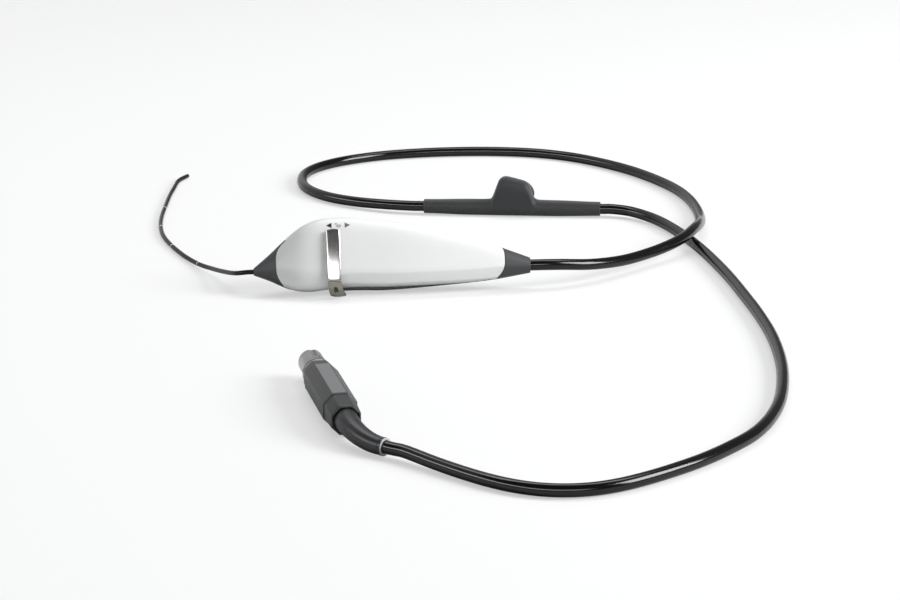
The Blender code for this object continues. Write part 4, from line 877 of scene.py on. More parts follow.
joint = curl_start + JOINT_DROP
strap_length = joint - SEAT_GAP - STRAP_TRIM
arm_along = stops(strap_length, ARM_STOPS)
arm_arch = STRAP_END_ARC * (1.0 - ease(arm_along, 0.0, ARCH_REACH))
lever_arm = closed_loft("lever_strap", strap_rings(arm_along, STRAP_TRIM, strap_length, arm_arch))
thumb_length = curl_start + curl_length - joint
dimple_at = curl_start + THUMB_BEND_RADIUS * (curl_tilt - DIMPLE_TURN)
thumb_along = stops(thumb_length, THUMB_STOPS)
thumb_rings = strap_rings(thumb_along, joint, thumb_length, np.zeros_like(thumb_along), dimple_at)
thumb_plate = closed_loft("thumb_plate", thumb_rings)
print("lever:", len(lever_arm.data.polygons), "and", len(thumb_plate.data.polygons), "faces")

# %% [markdown]
# The dimple's floor is painted a dark olive, a painted shade that stands in for the shade in its
# hollow. A mask in the material could colour it, but faces of its own have a crisp rim. They are
# found by how far they lie from the dimple's middle, across the plate and along it, and they get a
# material slot of their own later.

# %% Faces of the dimple's painted shade
PAINT_OVAL = (1.25, 0.7)
PAINT_REACH = 0.85
centres = np.zeros(len(thumb_plate.data.polygons) * 3)
thumb_plate.data.polygons.foreach_get("center", centres)
spot_height, spot_depth, spot_tilt = lever_path(np.array(dimple_at))
spot_aside = THUMB_STEP * ((dimple_at - curl_start) / curl_length)**THUMB_STEP_CURVE
spot = on_handle(LEVER_STATION + spot_aside, spot_height + math.sin(spot_tilt) * STRAP_THICKNESS,
                 spot_depth + math.cos(spot_tilt) * STRAP_THICKNESS)
across_plate = np.array(HANDLE_FRAME.to_3x3())[:, 0]
offset = centres.reshape(-1, 3) - spot
beside = offset @ across_plate
rest = np.linalg.norm(offset - beside[:, None] * across_plate, axis=1)
dimple_shade_faces = np.hypot(PAINT_OVAL[0] * beside, PAINT_OVAL[1] * rest) < PAINT_REACH * DIMPLE_RADIUS
print("dimple:", int(dimple_shade_faces.sum()), "faces")

# %% [markdown]
# ## Marks on the face
# Two arrow heads and a zero with its degree ring stand above the strap's end. They are printed. A
# texture could hold them, but shapes laid on the face's own surface stay sharp from nearby. The
# zero's top points to the nose.

# %% Printed marks
MARK_LIFT = 0.00003
MARK_HEIGHT = 0.0232
MARK_STEP = 0.0051
MARKS_MIDDLE = 0.0030
ARROW_AHEAD = 0.0017
ARROW_BEHIND = 0.0014
ARROW_HALF = 0.0016
ARROW_RINGS = ((1.0, 0.66), (0.66, 0.33), (0.33, 0.02))
ZERO = {"at": (0.0003, -0.0004), "half": (0.0012, 0.0008), "stroke": 0.00036}
DEGREE = {"at": (-0.0012, 0.0009), "half": (0.0005, 0.0005), "stroke": 0.00026}


def turn_at_height(x, height):
    """The turn round the face's section at which the surface has a given height."""
    near = np.zeros_like(x)
    far = np.full_like(x, np.pi / 2.0)
    for _ in range(HALVINGS):
        middle = (near + far) / 2.0
        above = face_side(x, middle)[0] > height
        near = np.where(above, middle, near)
        far = np.where(above, far, middle)
    return (near + far) / 2.0


def printed(name, outlines):
    """Rings of (along, up) points on the face, filled between each outer and inner ring."""
    points, faces = [], []
    for outer, inner in outlines:
        start = len(points)
        count = len(outer)
        both = np.vstack((outer, inner))
        x = LEVER_STATION + both[:, 0]
        height = MARK_HEIGHT + both[:, 1]
        depth = face_side(x, turn_at_height(x, height))[1]
        points += on_handle(x, height, depth + MARK_LIFT).tolist()
        i = np.arange(count)
        j = (i + 1) % count
        faces += (start + np.stack((i, j, count + j, count + i), axis=-1)).tolist()
    return mesh_piece(name, points, faces)


def arrow(middle, way):
    """A triangle that points along the hand piece, as rings that shrink to its own middle."""
    corners = np.array(((way * ARROW_AHEAD, 0.0), (-way * ARROW_BEHIND, ARROW_HALF),
                        (-way * ARROW_BEHIND, -ARROW_HALF)))
    side = np.linspace(0.0, 1.0, 8, endpoint=False)[:, None]
    outer = np.vstack([corners[k] + (corners[(k + 1) % 3] - corners[k]) * side for k in range(3)])
    outer = outer if way < 0.0 else outer[::-1]
    return [(outer * near + (middle, 0.0), outer * far + (middle, 0.0)) for near, far in ARROW_RINGS]


def ring_mark(at, half, stroke):
    """An oval stroke between two ovals, seen as the outline of a zero or of a degree ring."""
    turn = np.linspace(0.0, 2.0 * np.pi, 40, endpoint=False)
    oval = np.stack((np.cos(turn), np.sin(turn)), axis=-1)
    middle = np.array((MARKS_MIDDLE, 0.0)) + at
    return oval * half + middle, oval * (np.array(half) - stroke) + middle


dark_marks = printed("face_marks_dark", [*arrow(MARKS_MIDDLE - MARK_STEP, -1.0), ring_mark(**ZERO),
                                         ring_mark(**DEGREE)])
pale_marks = printed("face_marks_mauve", arrow(MARKS_MIDDLE + MARK_STEP, 1.0))
print("marks lie", MARK_LIFT / MM, "mm above the face")

# %% [markdown]
# ## The sleeve with the vent
# The sleeve is one soft moulding. Along it a curve gives the top's height: level over the cable,
# then up over the hump with its slanted top. The section changes from round to upright with a
# softened top, and the ends close over the cable with a small lip. A block joined to a tube would
# have a hard line at its foot. One loft flows from the one form to the other, as the moulding does.

# %% Sleeve and hump
PORT_RADIUS = 0.005
PORT_END_RADIUS = 0.0044
PORT_LIP = 0.0004
PORT_FLANK = 0.45
HUMP_WIDTH = 0.0276
HUMP_HEIGHT = 0.0196
HUMP_DEPTH = 0.0108
HUMP_CAP = 0.0075
HUMP_SPACING = 0.0002
HUMP_SQUARED_OVER = 0.006
HUMP_SQUARING = 0.18
FOOT_SOFTNESS = 0.0022
FOOT_DROP = 0.02
SLEEVE_ROWS = 230
SLEEVE_SIDES = 128
HUMP_SHAPE = ((-0.80, -0.30), (-0.60, -0.05), (-0.515, 0.10), (-0.435, 0.36), (-0.32, 0.80), (-0.27, 0.93),
              (-0.18, 1.01), (-0.06, 1.0), (0.26, 0.885), (0.35, 0.81), (0.43, 0.63), (0.50, 0.34),
              (0.60, 0.10), (0.70, -0.05), (0.90, -0.30))
VENT_ACROSS = 0.0015
VENT_HEIGHT = 0.0072
VENT_BORE = 0.0030
VENT_BORE_DEPTH = 0.0044
port_half = PORT_LENGTH / 2.0


def sleeve_radius(x):
    """Full in the middle, and drawn in gently to both ends."""
    return PORT_RADIUS - (PORT_RADIUS - PORT_END_RADIUS) * ease(np.abs(x), PORT_FLANK * port_half, port_half)


def top_height(x):
    """The larger of the sleeve's radius and the hump's curve, with the foot between them rounded."""
    shape = smooth_path(np.array(HUMP_SHAPE) * (HUMP_WIDTH, HUMP_HEIGHT), HUMP_SPACING)
    hump = np.interp(x, np.maximum.accumulate(shape[:, 0]), shape[:, 1])
    radius = sleeve_radius(x)
    return 0.5 * (radius + hump + np.hypot(radius - hump, FOOT_SOFTNESS)) - FOOT_DROP * FOOT_SOFTNESS


def port_rings(x):
    """Rings along the sleeve, each resampled so that its points lie evenly round it."""
    radius = sleeve_radius(x)[:, None]
    top = top_height(x)[:, None]
    share = ease(top - radius, 0.0, HUMP_SQUARED_OVER)
    half = radius + (HUMP_DEPTH / 2.0 - radius) * share
    cap = radius + (HUMP_CAP - radius) * share
    power = 1.0 - HUMP_SQUARING * share
    turn = np.linspace(0.0, np.pi, 97)[None, :]
    cap_across = half * np.sign(np.cos(turn)) * np.abs(np.cos(turn))**power
    cap_up = np.maximum(top - cap, 0.0) + cap * np.abs(np.sin(turn))**power
    low_across = -half * np.cos(turn)
    low_up = -radius * np.sin(turn)
    across = np.concatenate((cap_across, low_across), axis=1)
    up = np.concatenate((cap_up, low_up), axis=1)
    across = np.concatenate((across, across[:, :1]), axis=1)
    up = np.concatenate((up, up[:, :1]), axis=1)
    steps = np.hypot(np.diff(across), np.diff(up))
    walked = np.concatenate((np.zeros((len(x), 1)), np.cumsum(steps, axis=1)), axis=1)
    marks = np.linspace(0.0, 1.0, SLEEVE_SIDES, endpoint=False)
    rows = []
    for k in range(len(x)):
        places = marks * walked[k, -1]
        rows.append(np.column_stack((np.full(SLEEVE_SIDES, x[k]), np.interp(places, walked[k], across[k]),
                                     np.interp(places, walked[k], up[k]))))
    return np.array(rows)


fine = np.linspace(-port_half, port_half, 4000)
crawl = np.concatenate(([0.0], np.cumsum(np.hypot(np.diff(fine), np.diff(top_height(fine))))))
sleeve_x = np.interp(np.linspace(0.0, crawl[-1], SLEEVE_ROWS), crawl, fine)
body = port_rings(sleeve_x)
first, last = body[0], body[-1]
lip_turn = np.linspace(0.0, np.pi / 2.0, 5)[:, None, None]


def lip(ring, way):
    """Rings that round the sleeve's end over and carry it back inside as the cable's socket."""
    centre = np.array((ring[0, 0], 0.0, 0.0))
    out = (ring - centre) / PORT_END_RADIUS
    edge = np.array((way, 0.0, 0.0))
    rounded = centre + edge * PORT_LIP * np.sin(lip_turn) + out * (
        PORT_END_RADIUS - PORT_LIP * (1.0 - np.cos(lip_turn))) - edge * PORT_LIP
    bore = CABLE_RADIUS + SEAT_GAP
    mouth = centre + out * bore
    return np.concatenate((rounded, mouth[None], (mouth - edge * SOCKET_DEPTH)[None]))


end_lip = lip(last, 1.0)
start_lip = lip(first, -1.0)[::-1]
inner = np.abs(sleeve_x) < port_half - PORT_LIP
rings = np.concatenate((start_lip, body[inner], end_lip))
port_sleeve = closed_loft("port_sleeve", placed(rings, PORT_FRAME))
bore_start = HUMP_DEPTH / 2.0 - VENT_BORE_DEPTH
vent_bore = turned("vent_bore", ((bore_start, VENT_BORE), (HUMP_DEPTH / 2.0 + CUT_PAST, VENT_BORE)),
                   PORT_FRAME, "Y", (VENT_ACROSS, 0.0, VENT_HEIGHT), HOLE_SIDES)
combined(port_sleeve, vent_bore, "DIFFERENCE")
print("sleeve and hump:", len(port_sleeve.data.polygons), "faces")

# %% [markdown]
# ## The vent's socket
# Behind the hump a low oval socket takes the cap of a leak tester. It is a turned ring whose
# outside is stretched a little along the sleeve and pressed flatter, while its hole stays round. A
# step in its face and softened edges finish it, and the sprung pin stands in its middle.

# %% Vent socket
VENT_RADIUS = 0.0114
VENT_DEPTH = 0.0055
VENT_FACE = 0.0016
VENT_FACE_DEPTH = 0.0012
VENT_EDGE = 0.0016
VENT_OVAL = (1.05, 0.80)
vent_start = HUMP_DEPTH / 2.0 + SEAT_GAP
vent_back = HUMP_DEPTH / 2.0 + VENT_DEPTH
vent_mouth = VENT_BORE + VENT_FACE
vent_profile = ((vent_start, VENT_BORE), (vent_start, VENT_RADIUS), (vent_back - VENT_EDGE, VENT_RADIUS),
                (vent_back, VENT_RADIUS - VENT_EDGE), (vent_back, vent_mouth),
                (vent_back - VENT_FACE_DEPTH, vent_mouth), (vent_back - VENT_FACE_DEPTH, VENT_BORE))


def turned_ring(name, profile, matrix, axis, centre=(0.0, 0.0, 0.0), edge=0.0, oval=(1.0, 1.0)):
    """A turned piece with a hole right through: the profile's ends are joined to each other.

    oval stretches the outside across and upright, and leaves the hole round.
    """
    profile = np.asarray(profile + profile[:1], float)
    turn = np.linspace(0.0, 2.0 * np.pi, TURNED_SIDES, endpoint=False)
    along = np.broadcast_to(profile[:-1, :1], (len(profile) - 1, TURNED_SIDES))
    outer = ease(profile[:-1, 1:], profile[:, 1].min(), profile[:, 1].max())
    one = profile[:-1, 1:] * np.cos(turn) * (1.0 + (oval[0] - 1.0) * outer)
    two = profile[:-1, 1:] * np.sin(turn) * (1.0 + (oval[1] - 1.0) * outer)
    grid = (along, one, two) if axis == "X" else (one, along, two)
    points = placed(np.stack(grid, axis=-1) + np.asarray(centre), matrix)
    count = len(profile) - 1
    faces = np.array(grid_faces(count + 1, TURNED_SIDES)) % (count * TURNED_SIDES)
    piece = outward(mesh_piece(name, points.reshape(-1, 3), faces.tolist()))
    return soft_edges(piece, edge) if edge > 0.0 else piece


vent_socket = turned_ring("vent_socket_turned", vent_profile, PORT_FRAME, "Y",
                          (VENT_ACROSS, 0.0, VENT_HEIGHT), edge=0.00022, oval=VENT_OVAL)
print("vent socket is", 2.0 * VENT_RADIUS / MM, "mm across")

# %% [markdown]
# ## The plug
# The grip is eight-sided, with broad slanted sides and a narrower flat on top. Near its rear the
# flats step down, and its end has a round recess that the boot comes out of. A cylinder with eight
# sides would have equal flats, so rings with eight rounded corners carry the form, and a bevel
# softens the steps between them.

# %% Grip
GRIP_LENGTH = 0.078
GRIP_ACROSS = 0.017
GRIP_FLAT = 0.45
GRIP_FRONT_TAPER = 0.008
GRIP_STEP_START = 0.017
GRIP_STEP_DEPTH = 0.0006
GRIP_REAR_WIDTH = 0.0146
GRIP_EDGE = 0.0008
COLLAR_RADIUS = 0.00765
COLLAR_LENGTH = 0.005
COLLAR_EDGE = 0.0011
RECESS_RADIUS = 0.0066
RECESS_DEPTH = 0.0016
GRIP_CORNER = 0.09
STEP_ROUNDING = 0.3
TAPER_ROUNDING = 0.45
PLATE_SHARE = 0.9
PLATE_INSET = 0.0012
PLATE_SUNK = 0.0004
PLATE_RISE = 0.00012


def octagon(across):
    """Eight corners with flats above and below, each flat shorter than the slanted sides."""
    half = across / 2.0
    small = half * GRIP_FLAT
    return np.array(((small, half), (half, small), (half, -small), (small, -half),
                     (-small, -half), (-half, -small), (-half, small), (-small, half)))


def eight_sided(across, corner):
    """The octagon with rounded corners, at even turns: its radius is read along each turn."""
    corners = octagon(across)
    start = corners + (np.roll(corners, 1, axis=0) - corners) * corner
    end = corners + (np.roll(corners, -1, axis=0) - corners) * corner
    t = np.linspace(0.0, 1.0, 7)[:, None, None]
    arcs = (1.0 - t)**2 * start + 2.0 * t * (1.0 - t) * corners + t**2 * end
    return arcs.transpose(1, 0, 2).reshape(-1, 2)


def grip_ring(x, across):
    """One eight-sided ring at a distance from the grip's rear."""
    outline = eight_sided(across, GRIP_CORNER)
    return np.column_stack((np.full(len(outline), x), outline))


def round_ring(x, radius):
    """A circle whose points lie at the same turns as the rounded octagon's."""
    outline = eight_sided(1.0, GRIP_CORNER)
    outline = outline / np.linalg.norm(outline, axis=1)[:, None] * radius
    return np.column_stack((np.full(len(outline), x), outline))


step_low = GRIP_ACROSS - 2.0 * GRIP_STEP_DEPTH
front_across = 2.0 * COLLAR_RADIUS
taper_start = GRIP_LENGTH - GRIP_FRONT_TAPER
taper_middle = TAPER_ROUNDING * GRIP_ACROSS + (1.0 - TAPER_ROUNDING) * front_across
step_round = STEP_ROUNDING * GRIP_STEP_DEPTH
grip_rings = [
    round_ring(RECESS_DEPTH, RECESS_RADIUS),
    round_ring(0.0, RECESS_RADIUS),
    grip_ring(0.0, GRIP_REAR_WIDTH - GRIP_EDGE),
    grip_ring(GRIP_EDGE / 2.0, GRIP_REAR_WIDTH - STEP_ROUNDING * GRIP_EDGE),
    grip_ring(GRIP_EDGE, GRIP_REAR_WIDTH),
    grip_ring(GRIP_STEP_START - GRIP_STEP_DEPTH, step_low),
    grip_ring(GRIP_STEP_START - step_round, GRIP_ACROSS - step_round),
    grip_ring(GRIP_STEP_START, GRIP_ACROSS),
    grip_ring(taper_start, GRIP_ACROSS),
    grip_ring(GRIP_LENGTH - GRIP_FRONT_TAPER / 2.0, taper_middle),
    grip_ring(GRIP_LENGTH - GRIP_EDGE, front_across + GRIP_EDGE / 2.0),
    grip_ring(GRIP_LENGTH, front_across - GRIP_EDGE)]
plug_grip = closed_loft("plug_grip_moulding", placed(np.array(grip_rings), PLUG_FRAME))
soft_edges(plug_grip, 0.00025, angle=25.0)
# the paler plate on the top flat is painted light, as if the top were lit from above
plate_half = GRIP_ACROSS / 2.0 * GRIP_FLAT * PLATE_SHARE
plate_low = (GRIP_STEP_START + PLATE_INSET, -plate_half, GRIP_ACROSS / 2.0 - PLATE_SUNK)
plate_high = (taper_start - PLATE_INSET, plate_half, GRIP_ACROSS / 2.0 + PLATE_RISE)
print("grip is", GRIP_LENGTH / MM, "mm long and", GRIP_ACROSS / MM, "mm across its flats")

# %% [markdown]
# ## Collar, nose and contacts
# In front of the grip come a smooth collar with a dark sealing ring, and a metal nose with a key
# slot along its top. Inside the nose a dark insert carries rings of contacts. All of these are
# profiles turned about the plug's axis, as on a lathe, and only the slot is cut afterwards. A thin
# paler plate on the grip's top flat is painted light: it makes the top look lit from above.

# %% Collar, nose and contacts
NOSE_LENGTH = 0.019
NOSE_RADIUS = 0.0066
NOSE_WALL = 0.001
NOSE_MOUTH = 0.007
NOSE_EDGE = 0.0005
KEY_WIDTH = 0.0024
KEY_LENGTH = 0.010
KEY_DEPTH = 0.0005
INSERT_SUNK = 0.001
CONTACT_RADIUS = 0.00032
CONTACT_RISE = 0.0007
CONTACT_SUNK = 0.0004
CONTACT_EDGE = 0.0001
CONTACT_TOP = 0.6
CONTACT_RINGS = ((0.0, 1), (0.0017, 6), (0.0035, 12))
END_RADIUS = 0.0005
SEAL_START = 0.0026
SEAL_WIDTH = 0.0010
SEAL_SUNK = 0.00035
SEAL_HALF_WIDE = 0.00046
SEAL_HALF_THICK = 0.00024
collar_start = GRIP_LENGTH + SEAT_GAP
collar_end = collar_start + COLLAR_LENGTH
seal_start = collar_start + SEAL_START
seal_end = seal_start + SEAL_WIDTH
collar_profile = ((collar_start, END_RADIUS), (collar_start, COLLAR_RADIUS), (seal_start, COLLAR_RADIUS),
                  (seal_start, COLLAR_RADIUS - SEAL_SUNK), (seal_end, COLLAR_RADIUS - SEAL_SUNK),
                  (seal_end, COLLAR_RADIUS), (collar_end - COLLAR_EDGE, COLLAR_RADIUS),
                  (collar_end, COLLAR_RADIUS - COLLAR_EDGE), (collar_end, END_RADIUS))
plug_collar = turned("plug_collar_turned", collar_profile, PLUG_FRAME, edge=0.00015)
seal_turn = np.linspace(0.0, 2.0 * np.pi, 12, endpoint=False)
seal_profile = tuple(zip((seal_start + seal_end) / 2.0 + SEAL_HALF_WIDE * np.cos(seal_turn),
                         COLLAR_RADIUS - SEAL_SUNK / 2.0 + SEAL_HALF_THICK * np.sin(seal_turn)))
collar_seal = turned_ring("collar_seal", seal_profile, PLUG_FRAME, "X")
nose_start = collar_end + SEAT_GAP
nose_tip = nose_start + NOSE_LENGTH
nose_floor = nose_tip - NOSE_MOUTH
nose_bore = NOSE_RADIUS - NOSE_WALL
nose_profile = ((nose_start, END_RADIUS), (nose_start, NOSE_RADIUS), (nose_tip - NOSE_EDGE, NOSE_RADIUS),
                (nose_tip, NOSE_RADIUS - NOSE_EDGE), (nose_tip, nose_bore), (nose_floor, nose_bore),
                (nose_floor, END_RADIUS))
plug_nose = applied(turned("plug_nose_turned", nose_profile, PLUG_FRAME, edge=0.00012))


def block(name, low, high, matrix):
    """A closed box between two corners of a part's own frame."""
    corners = np.array([(x, y, z) for x in (low[0], high[0]) for y in (low[1], high[1])
                        for z in (low[2], high[2])])
    faces = [(0, 1, 3, 2), (4, 6, 7, 5), (0, 4, 5, 1), (2, 3, 7, 6), (0, 2, 6, 4), (1, 5, 7, 3)]
    return outward(mesh_piece(name, placed(corners, matrix), faces))


# painted light: a thin paler plate on the grip's top flat
grip_top_painted_light = soft_edges(block("grip_top_painted_light", plate_low, plate_high, PLUG_FRAME), 0.0001)
key_low = (nose_tip - KEY_LENGTH, -KEY_WIDTH / 2.0, NOSE_RADIUS - KEY_DEPTH)
key_high = (nose_tip + CUT_PAST, KEY_WIDTH / 2.0, NOSE_RADIUS + CUT_PAST)
combined(plug_nose, block("key", key_low, key_high, PLUG_FRAME), "DIFFERENCE")
insert_face = nose_tip - INSERT_SUNK
insert_profile = ((nose_floor + SEAT_GAP, nose_bore - SEAT_GAP), (insert_face, nose_bore - SEAT_GAP))
insert = applied(turned("insert", insert_profile, PLUG_FRAME, edge=0.0002))
insert_faces = len(insert.data.polygons)
contact_top = insert_face + CONTACT_RISE
contact_profile = ((insert_face - CONTACT_SUNK, CONTACT_RADIUS), (contact_top - CONTACT_EDGE, CONTACT_RADIUS),
                   (contact_top, CONTACT_TOP * CONTACT_RADIUS))
contacts = []
for ring_radius, count in CONTACT_RINGS:
    for turn in np.linspace(0.0, 2.0 * np.pi, count, endpoint=False):
        spot = (0.0, ring_radius * math.cos(turn), ring_radius * math.sin(turn))
        contacts.append(turned("contact", contact_profile, PLUG_FRAME, centre=spot, sides=20))


def joined(name, parts):
    """Several small bodies as one piece."""
    with bpy.context.temp_override(active_object=parts[0], selected_editable_objects=parts):
        bpy.ops.object.join()
    parts[0].name = name
    return parts[0]


contact_count = len(contacts)
plug_insert = joined("plug_insert_contacts", [insert, *contacts])
second = np.arange(len(plug_insert.data.polygons)) >= insert_faces
plug_insert.data.polygons.foreach_set("material_index", second.astype(np.int32))
print("contacts:", contact_count)

# %% [markdown]
# ## Boot and ring
# The boot is a soft taper round a bent line. It starts inside the grip's recess, turns aside and
# sinks until the cable lies on the table. A straight taper could be bent by a modifier, but then
# the cable inside would need the same bend. Here both follow one centreline. A thin ring closes the
# boot's end, and a pale lip on it is a painted highlight along its end edge.

# %% Boot and ring
BOOT_SEAT_RADIUS = 0.0059
BOOT_MOUTH_RADIUS = 0.0043
BOOT_SIDES = 72
BOOT_ROWS = 70
BOOT_CURVE = 1.1
RING_LENGTH = 0.0016
RING_SHARE = 0.6
BOOT_LIP = 0.00035
boot_share = np.linspace(0.0, 1.0, BOOT_ROWS)
boot_line = boot_middle(boot_share)
boot_heading = BOOT_BEND * boot_share
aside = np.stack((np.sin(boot_heading), -np.cos(boot_heading), np.zeros_like(boot_share)), axis=-1)
boot_radius = BOOT_SEAT_RADIUS + (BOOT_MOUTH_RADIUS - BOOT_SEAT_RADIUS) * boot_share**BOOT_CURVE
turn = np.linspace(0.0, 2.0 * np.pi, BOOT_SIDES, endpoint=False)[None, :, None]
boot_rings = (boot_line[:, None, :] + boot_radius[:, None, None] * np.cos(turn) * aside[:, None, :]
              + boot_radius[:, None, None] * np.sin(turn) * np.array((0.0, 0.0, 1.0)))
seat_ring = boot_rings[0] + np.array((RECESS_DEPTH, 0.0, 0.0))
boot_rings = np.concatenate((seat_ring[None], boot_rings))
plug_boot = closed_loft("plug_boot_moulding", placed(boot_rings, PLUG_FRAME))
boot_point = placed(boot_end, PLUG_FRAME)
ring_frame = part_frame(Vector(boot_point), "Z", PLUG_HEADING + math.pi + BOOT_BEND)
ring_low = SEAT_GAP / 3.0
ring_high = SEAT_GAP + RING_LENGTH
ring_wide = BOOT_MOUTH_RADIUS + RING_SHARE * RING_RISE
ring_bore = CABLE_RADIUS + SEAT_GAP / 3.0
lip_low = ring_high - BOOT_LIP
ring_profile = ((ring_low, ring_bore), (ring_low, ring_wide), (lip_low, ring_wide), (lip_low, ring_bore))
boot_ring = turned_ring("boot_ring_turned", ring_profile, ring_frame, "X", edge=0.0001)
# painted highlight: the pale lip stands in for the light caught by the ring's end edge
lip_profile = ((lip_low, ring_bore), (lip_low, ring_wide), (ring_high, ring_wide - BOOT_LIP / 2.0),
               (ring_high, ring_bore))
boot_highlight_lip = turned_ring("boot_highlight_lip", lip_profile, ring_frame, "X", edge=0.00012)
print("boot ends", round(float(boot_point[2]) / MM, 2), "mm above the table")

# %% [markdown]
# ## The bending section's skin
# Inside the tube's last 25 mm a chain of short links bends in six places. Thin rubber covers it.
# The skin is made as six short sleeves, each from the middle of one link to the middle of the next,
# so each crosses a single hinge, and neighbours always meet on a rigid link.

# %% Skin over the links
HINGES = 6
LINK_PITCH = 0.0027
LINK_GAP = 0.0007
TIP_CURL = math.radians(-20.0)
SKIN_RADIUS = 0.00133
SKIN_SIDES = 28
SKIN_ROWS = 15
SKIN_START = 0.0001


def link_stations():
    """The middles of the fixed collar, of each link and of the head's neck, and the hinges between."""
    here = np.array(tube_end, float)
    heading = TIP_HEADING
    step = TIP_CURL / HINGES
    half_link = (LINK_PITCH - LINK_GAP) / 2.0
    way = np.array((math.cos(heading), math.sin(heading), 0.0))
    middles = [here + way * (SEAT_GAP + half_link)]
    here = here + way * (SEAT_GAP + 2.0 * half_link + LINK_GAP / 2.0)
    hinges = []
    for _ in range(HINGES):
        hinges.append(here)
        heading += step
        way = np.array((math.cos(heading), math.sin(heading), 0.0))
        middles.append(here + way * LINK_PITCH / 2.0)
        here = here + way * LINK_PITCH
    return middles, hinges


link_middles, link_hinges = link_stations()
skins = []
for number, hinge in enumerate(link_hinges):
    low, high = link_middles[number], link_middles[number + 1]
    t = np.linspace(0.0, 1.0, SKIN_ROWS)[:, None]
    line = (1.0 - t)**2 * low + 2.0 * t * (1.0 - t) * hinge + t**2 * high
    if number == 0:
        line = np.vstack((tube_end + SKIN_START * tip_way, line))
    skins.append(swept_tube("bending_skin_%d" % (number + 1), line, SKIN_RADIUS, SKIN_SIDES))
print("skin pieces:", len(skins), "ending at", np.round(link_middles[-1] / MM, 1), "mm")

# %% [markdown]
# ## Shared effects for the materials
# Four effects appear on many finishes: the fine grain of a moulding, the slow cloudy change in
# tone that a handled surface has, the fine lines of turned or brushed metal, and long waves in a
# jacket that make its highlight wander. Each is a node group, and each material sets its values.

# %% Node groups


def node_group(name, inputs, outputs):
    """An empty group with its sockets. Returns its tree, what it is given and what it puts out."""
    tree = bpy.data.node_groups.new(name, "ShaderNodeTree")
    for label, kind, value in inputs:
        socket = tree.interface.new_socket(label, in_out="INPUT", socket_type=kind)
        if value is not None:
            socket.default_value = value
    for label, kind in outputs:
        tree.interface.new_socket(label, in_out="OUTPUT", socket_type=kind)
    return tree, tree.nodes.new("NodeGroupInput").outputs, tree.nodes.new("NodeGroupOutput").inputs


def add(tree, kind, links=(), **settings):
    """A node with its settings, and with links or values for its inputs by name or number."""
    node = tree.nodes.new(kind)
    for key, value in settings.items():
        setattr(node, key, value)
    for key, value in links:
        if isinstance(value, bpy.types.NodeSocket):
            tree.links.new(value, node.inputs[key])
        else:
            node.inputs[key].default_value = value
    return node


def maths(tree, operation, *values):
    """The result of one Math node, whose values are numbers or links."""
    return add(tree, "ShaderNodeMath", enumerate(values), operation=operation).outputs[0]


def noise(tree, place, scale, detail):
    """Noise from 0 to 1 at a place. The scale is a number or a link."""
    links = (("Vector", place), ("Scale", scale), ("Detail", detail))
    return add(tree, "ShaderNodeTexNoise", links).outputs["Fac"]


FLOAT = "NodeSocketFloat"
COLOUR = "NodeSocketColor"
VECTOR = "NodeSocketVector"
RIPPLE_FINER = 14.0
RIPPLE_SHARE = 0.05


def moulded_grain():
    """Fine spark-eroded grain: small cells broken up by noise. Height runs from 0 to 1."""
    tree, given, out = node_group("moulded grain", (("Place", VECTOR, None), ("Scale", FLOAT, 2500.0)),
                                  (("Height", FLOAT),))
    place, scale = given["Place"], given["Scale"]
    cells = add(tree, "ShaderNodeTexVoronoi", (("Vector", place), ("Scale", scale)))
    height = maths(tree, "MULTIPLY", cells.outputs["Distance"], noise(tree, place, scale, 3.0))
    tree.links.new(height, out["Height"])
    return tree


def handled_tone():
    """Slow cloudy patches. Puts out a colour a little darker or lighter, and a roughness."""
    inputs = (("Place", VECTOR, None), ("Colour", COLOUR, None), ("Scale", FLOAT, 60.0),
              ("Change", FLOAT, 0.06), ("Roughness", FLOAT, 0.4), ("Roughness change", FLOAT, 0.08))
    tree, given, out = node_group("handled tone", inputs, (("Colour", COLOUR), ("Roughness", FLOAT)))
    patches = noise(tree, given["Place"], given["Scale"], 4.0)
    centred = maths(tree, "SUBTRACT", patches, 0.5)
    tone = maths(tree, "MULTIPLY_ADD", centred, given["Change"], 1.0)
    colour = add(tree, "ShaderNodeVectorMath", ((0, given["Colour"]), ("Scale", tone)), operation="SCALE")
    rough = maths(tree, "MULTIPLY_ADD", centred, given["Roughness change"], given["Roughness"])
    tree.links.new(colour.outputs[0], out["Colour"])
    tree.links.new(rough, out["Roughness"])
    return tree


def fine_lines():
    """Noise stretched along one direction, as on brushed metal. Height runs from 0 to 1."""
    tree, given, out = node_group("fine lines", (("Place", VECTOR, None), ("Along", VECTOR, None),
                                                 ("Scale", FLOAT, 3000.0)), (("Height", FLOAT),))
    squeezed = add(tree, "ShaderNodeVectorMath", ((0, given["Place"]), (1, given["Along"])),
                   operation="MULTIPLY")
    lines = noise(tree, squeezed.outputs[0], given["Scale"], 2.0)
    tree.links.new(lines, out["Height"])
    return tree


def jacket_waves():
    """Long soft swells with a faint ripple, as extruded jackets have. Height runs from 0 to 1."""
    tree, given, out = node_group("jacket waves", (("Place", VECTOR, None), ("Scale", FLOAT, 60.0)),
                                  (("Height", FLOAT),))
    place, scale = given["Place"], given["Scale"]
    swell = noise(tree, place, scale, 1.0)
    ripple = noise(tree, place, maths(tree, "MULTIPLY", scale, RIPPLE_FINER), 2.0)
    tree.links.new(maths(tree, "MULTIPLY_ADD", ripple, RIPPLE_SHARE, swell), out["Height"])
    return tree


GROUPS = {tree.name: tree for tree in (moulded_grain(), handled_tone(), fine_lines(), jacket_waves())}
print("node groups:", ", ".join(GROUPS))

# %% [markdown]
# ## Finishes
# A finish starts from the same small tree: the place on the object, the cloudy tone, one kind of
# relief and a Principled shader. What differs is the colour, how shiny it is and how deep the
# relief goes.

# %% Material builders
def grouped(tree, name, links):
    """One of the shared effects, placed in a material, with links or values for its inputs."""
    return add(tree, "ShaderNodeGroup", links, node_tree=GROUPS[name])


SHEEN_ROUGHNESS = 0.45


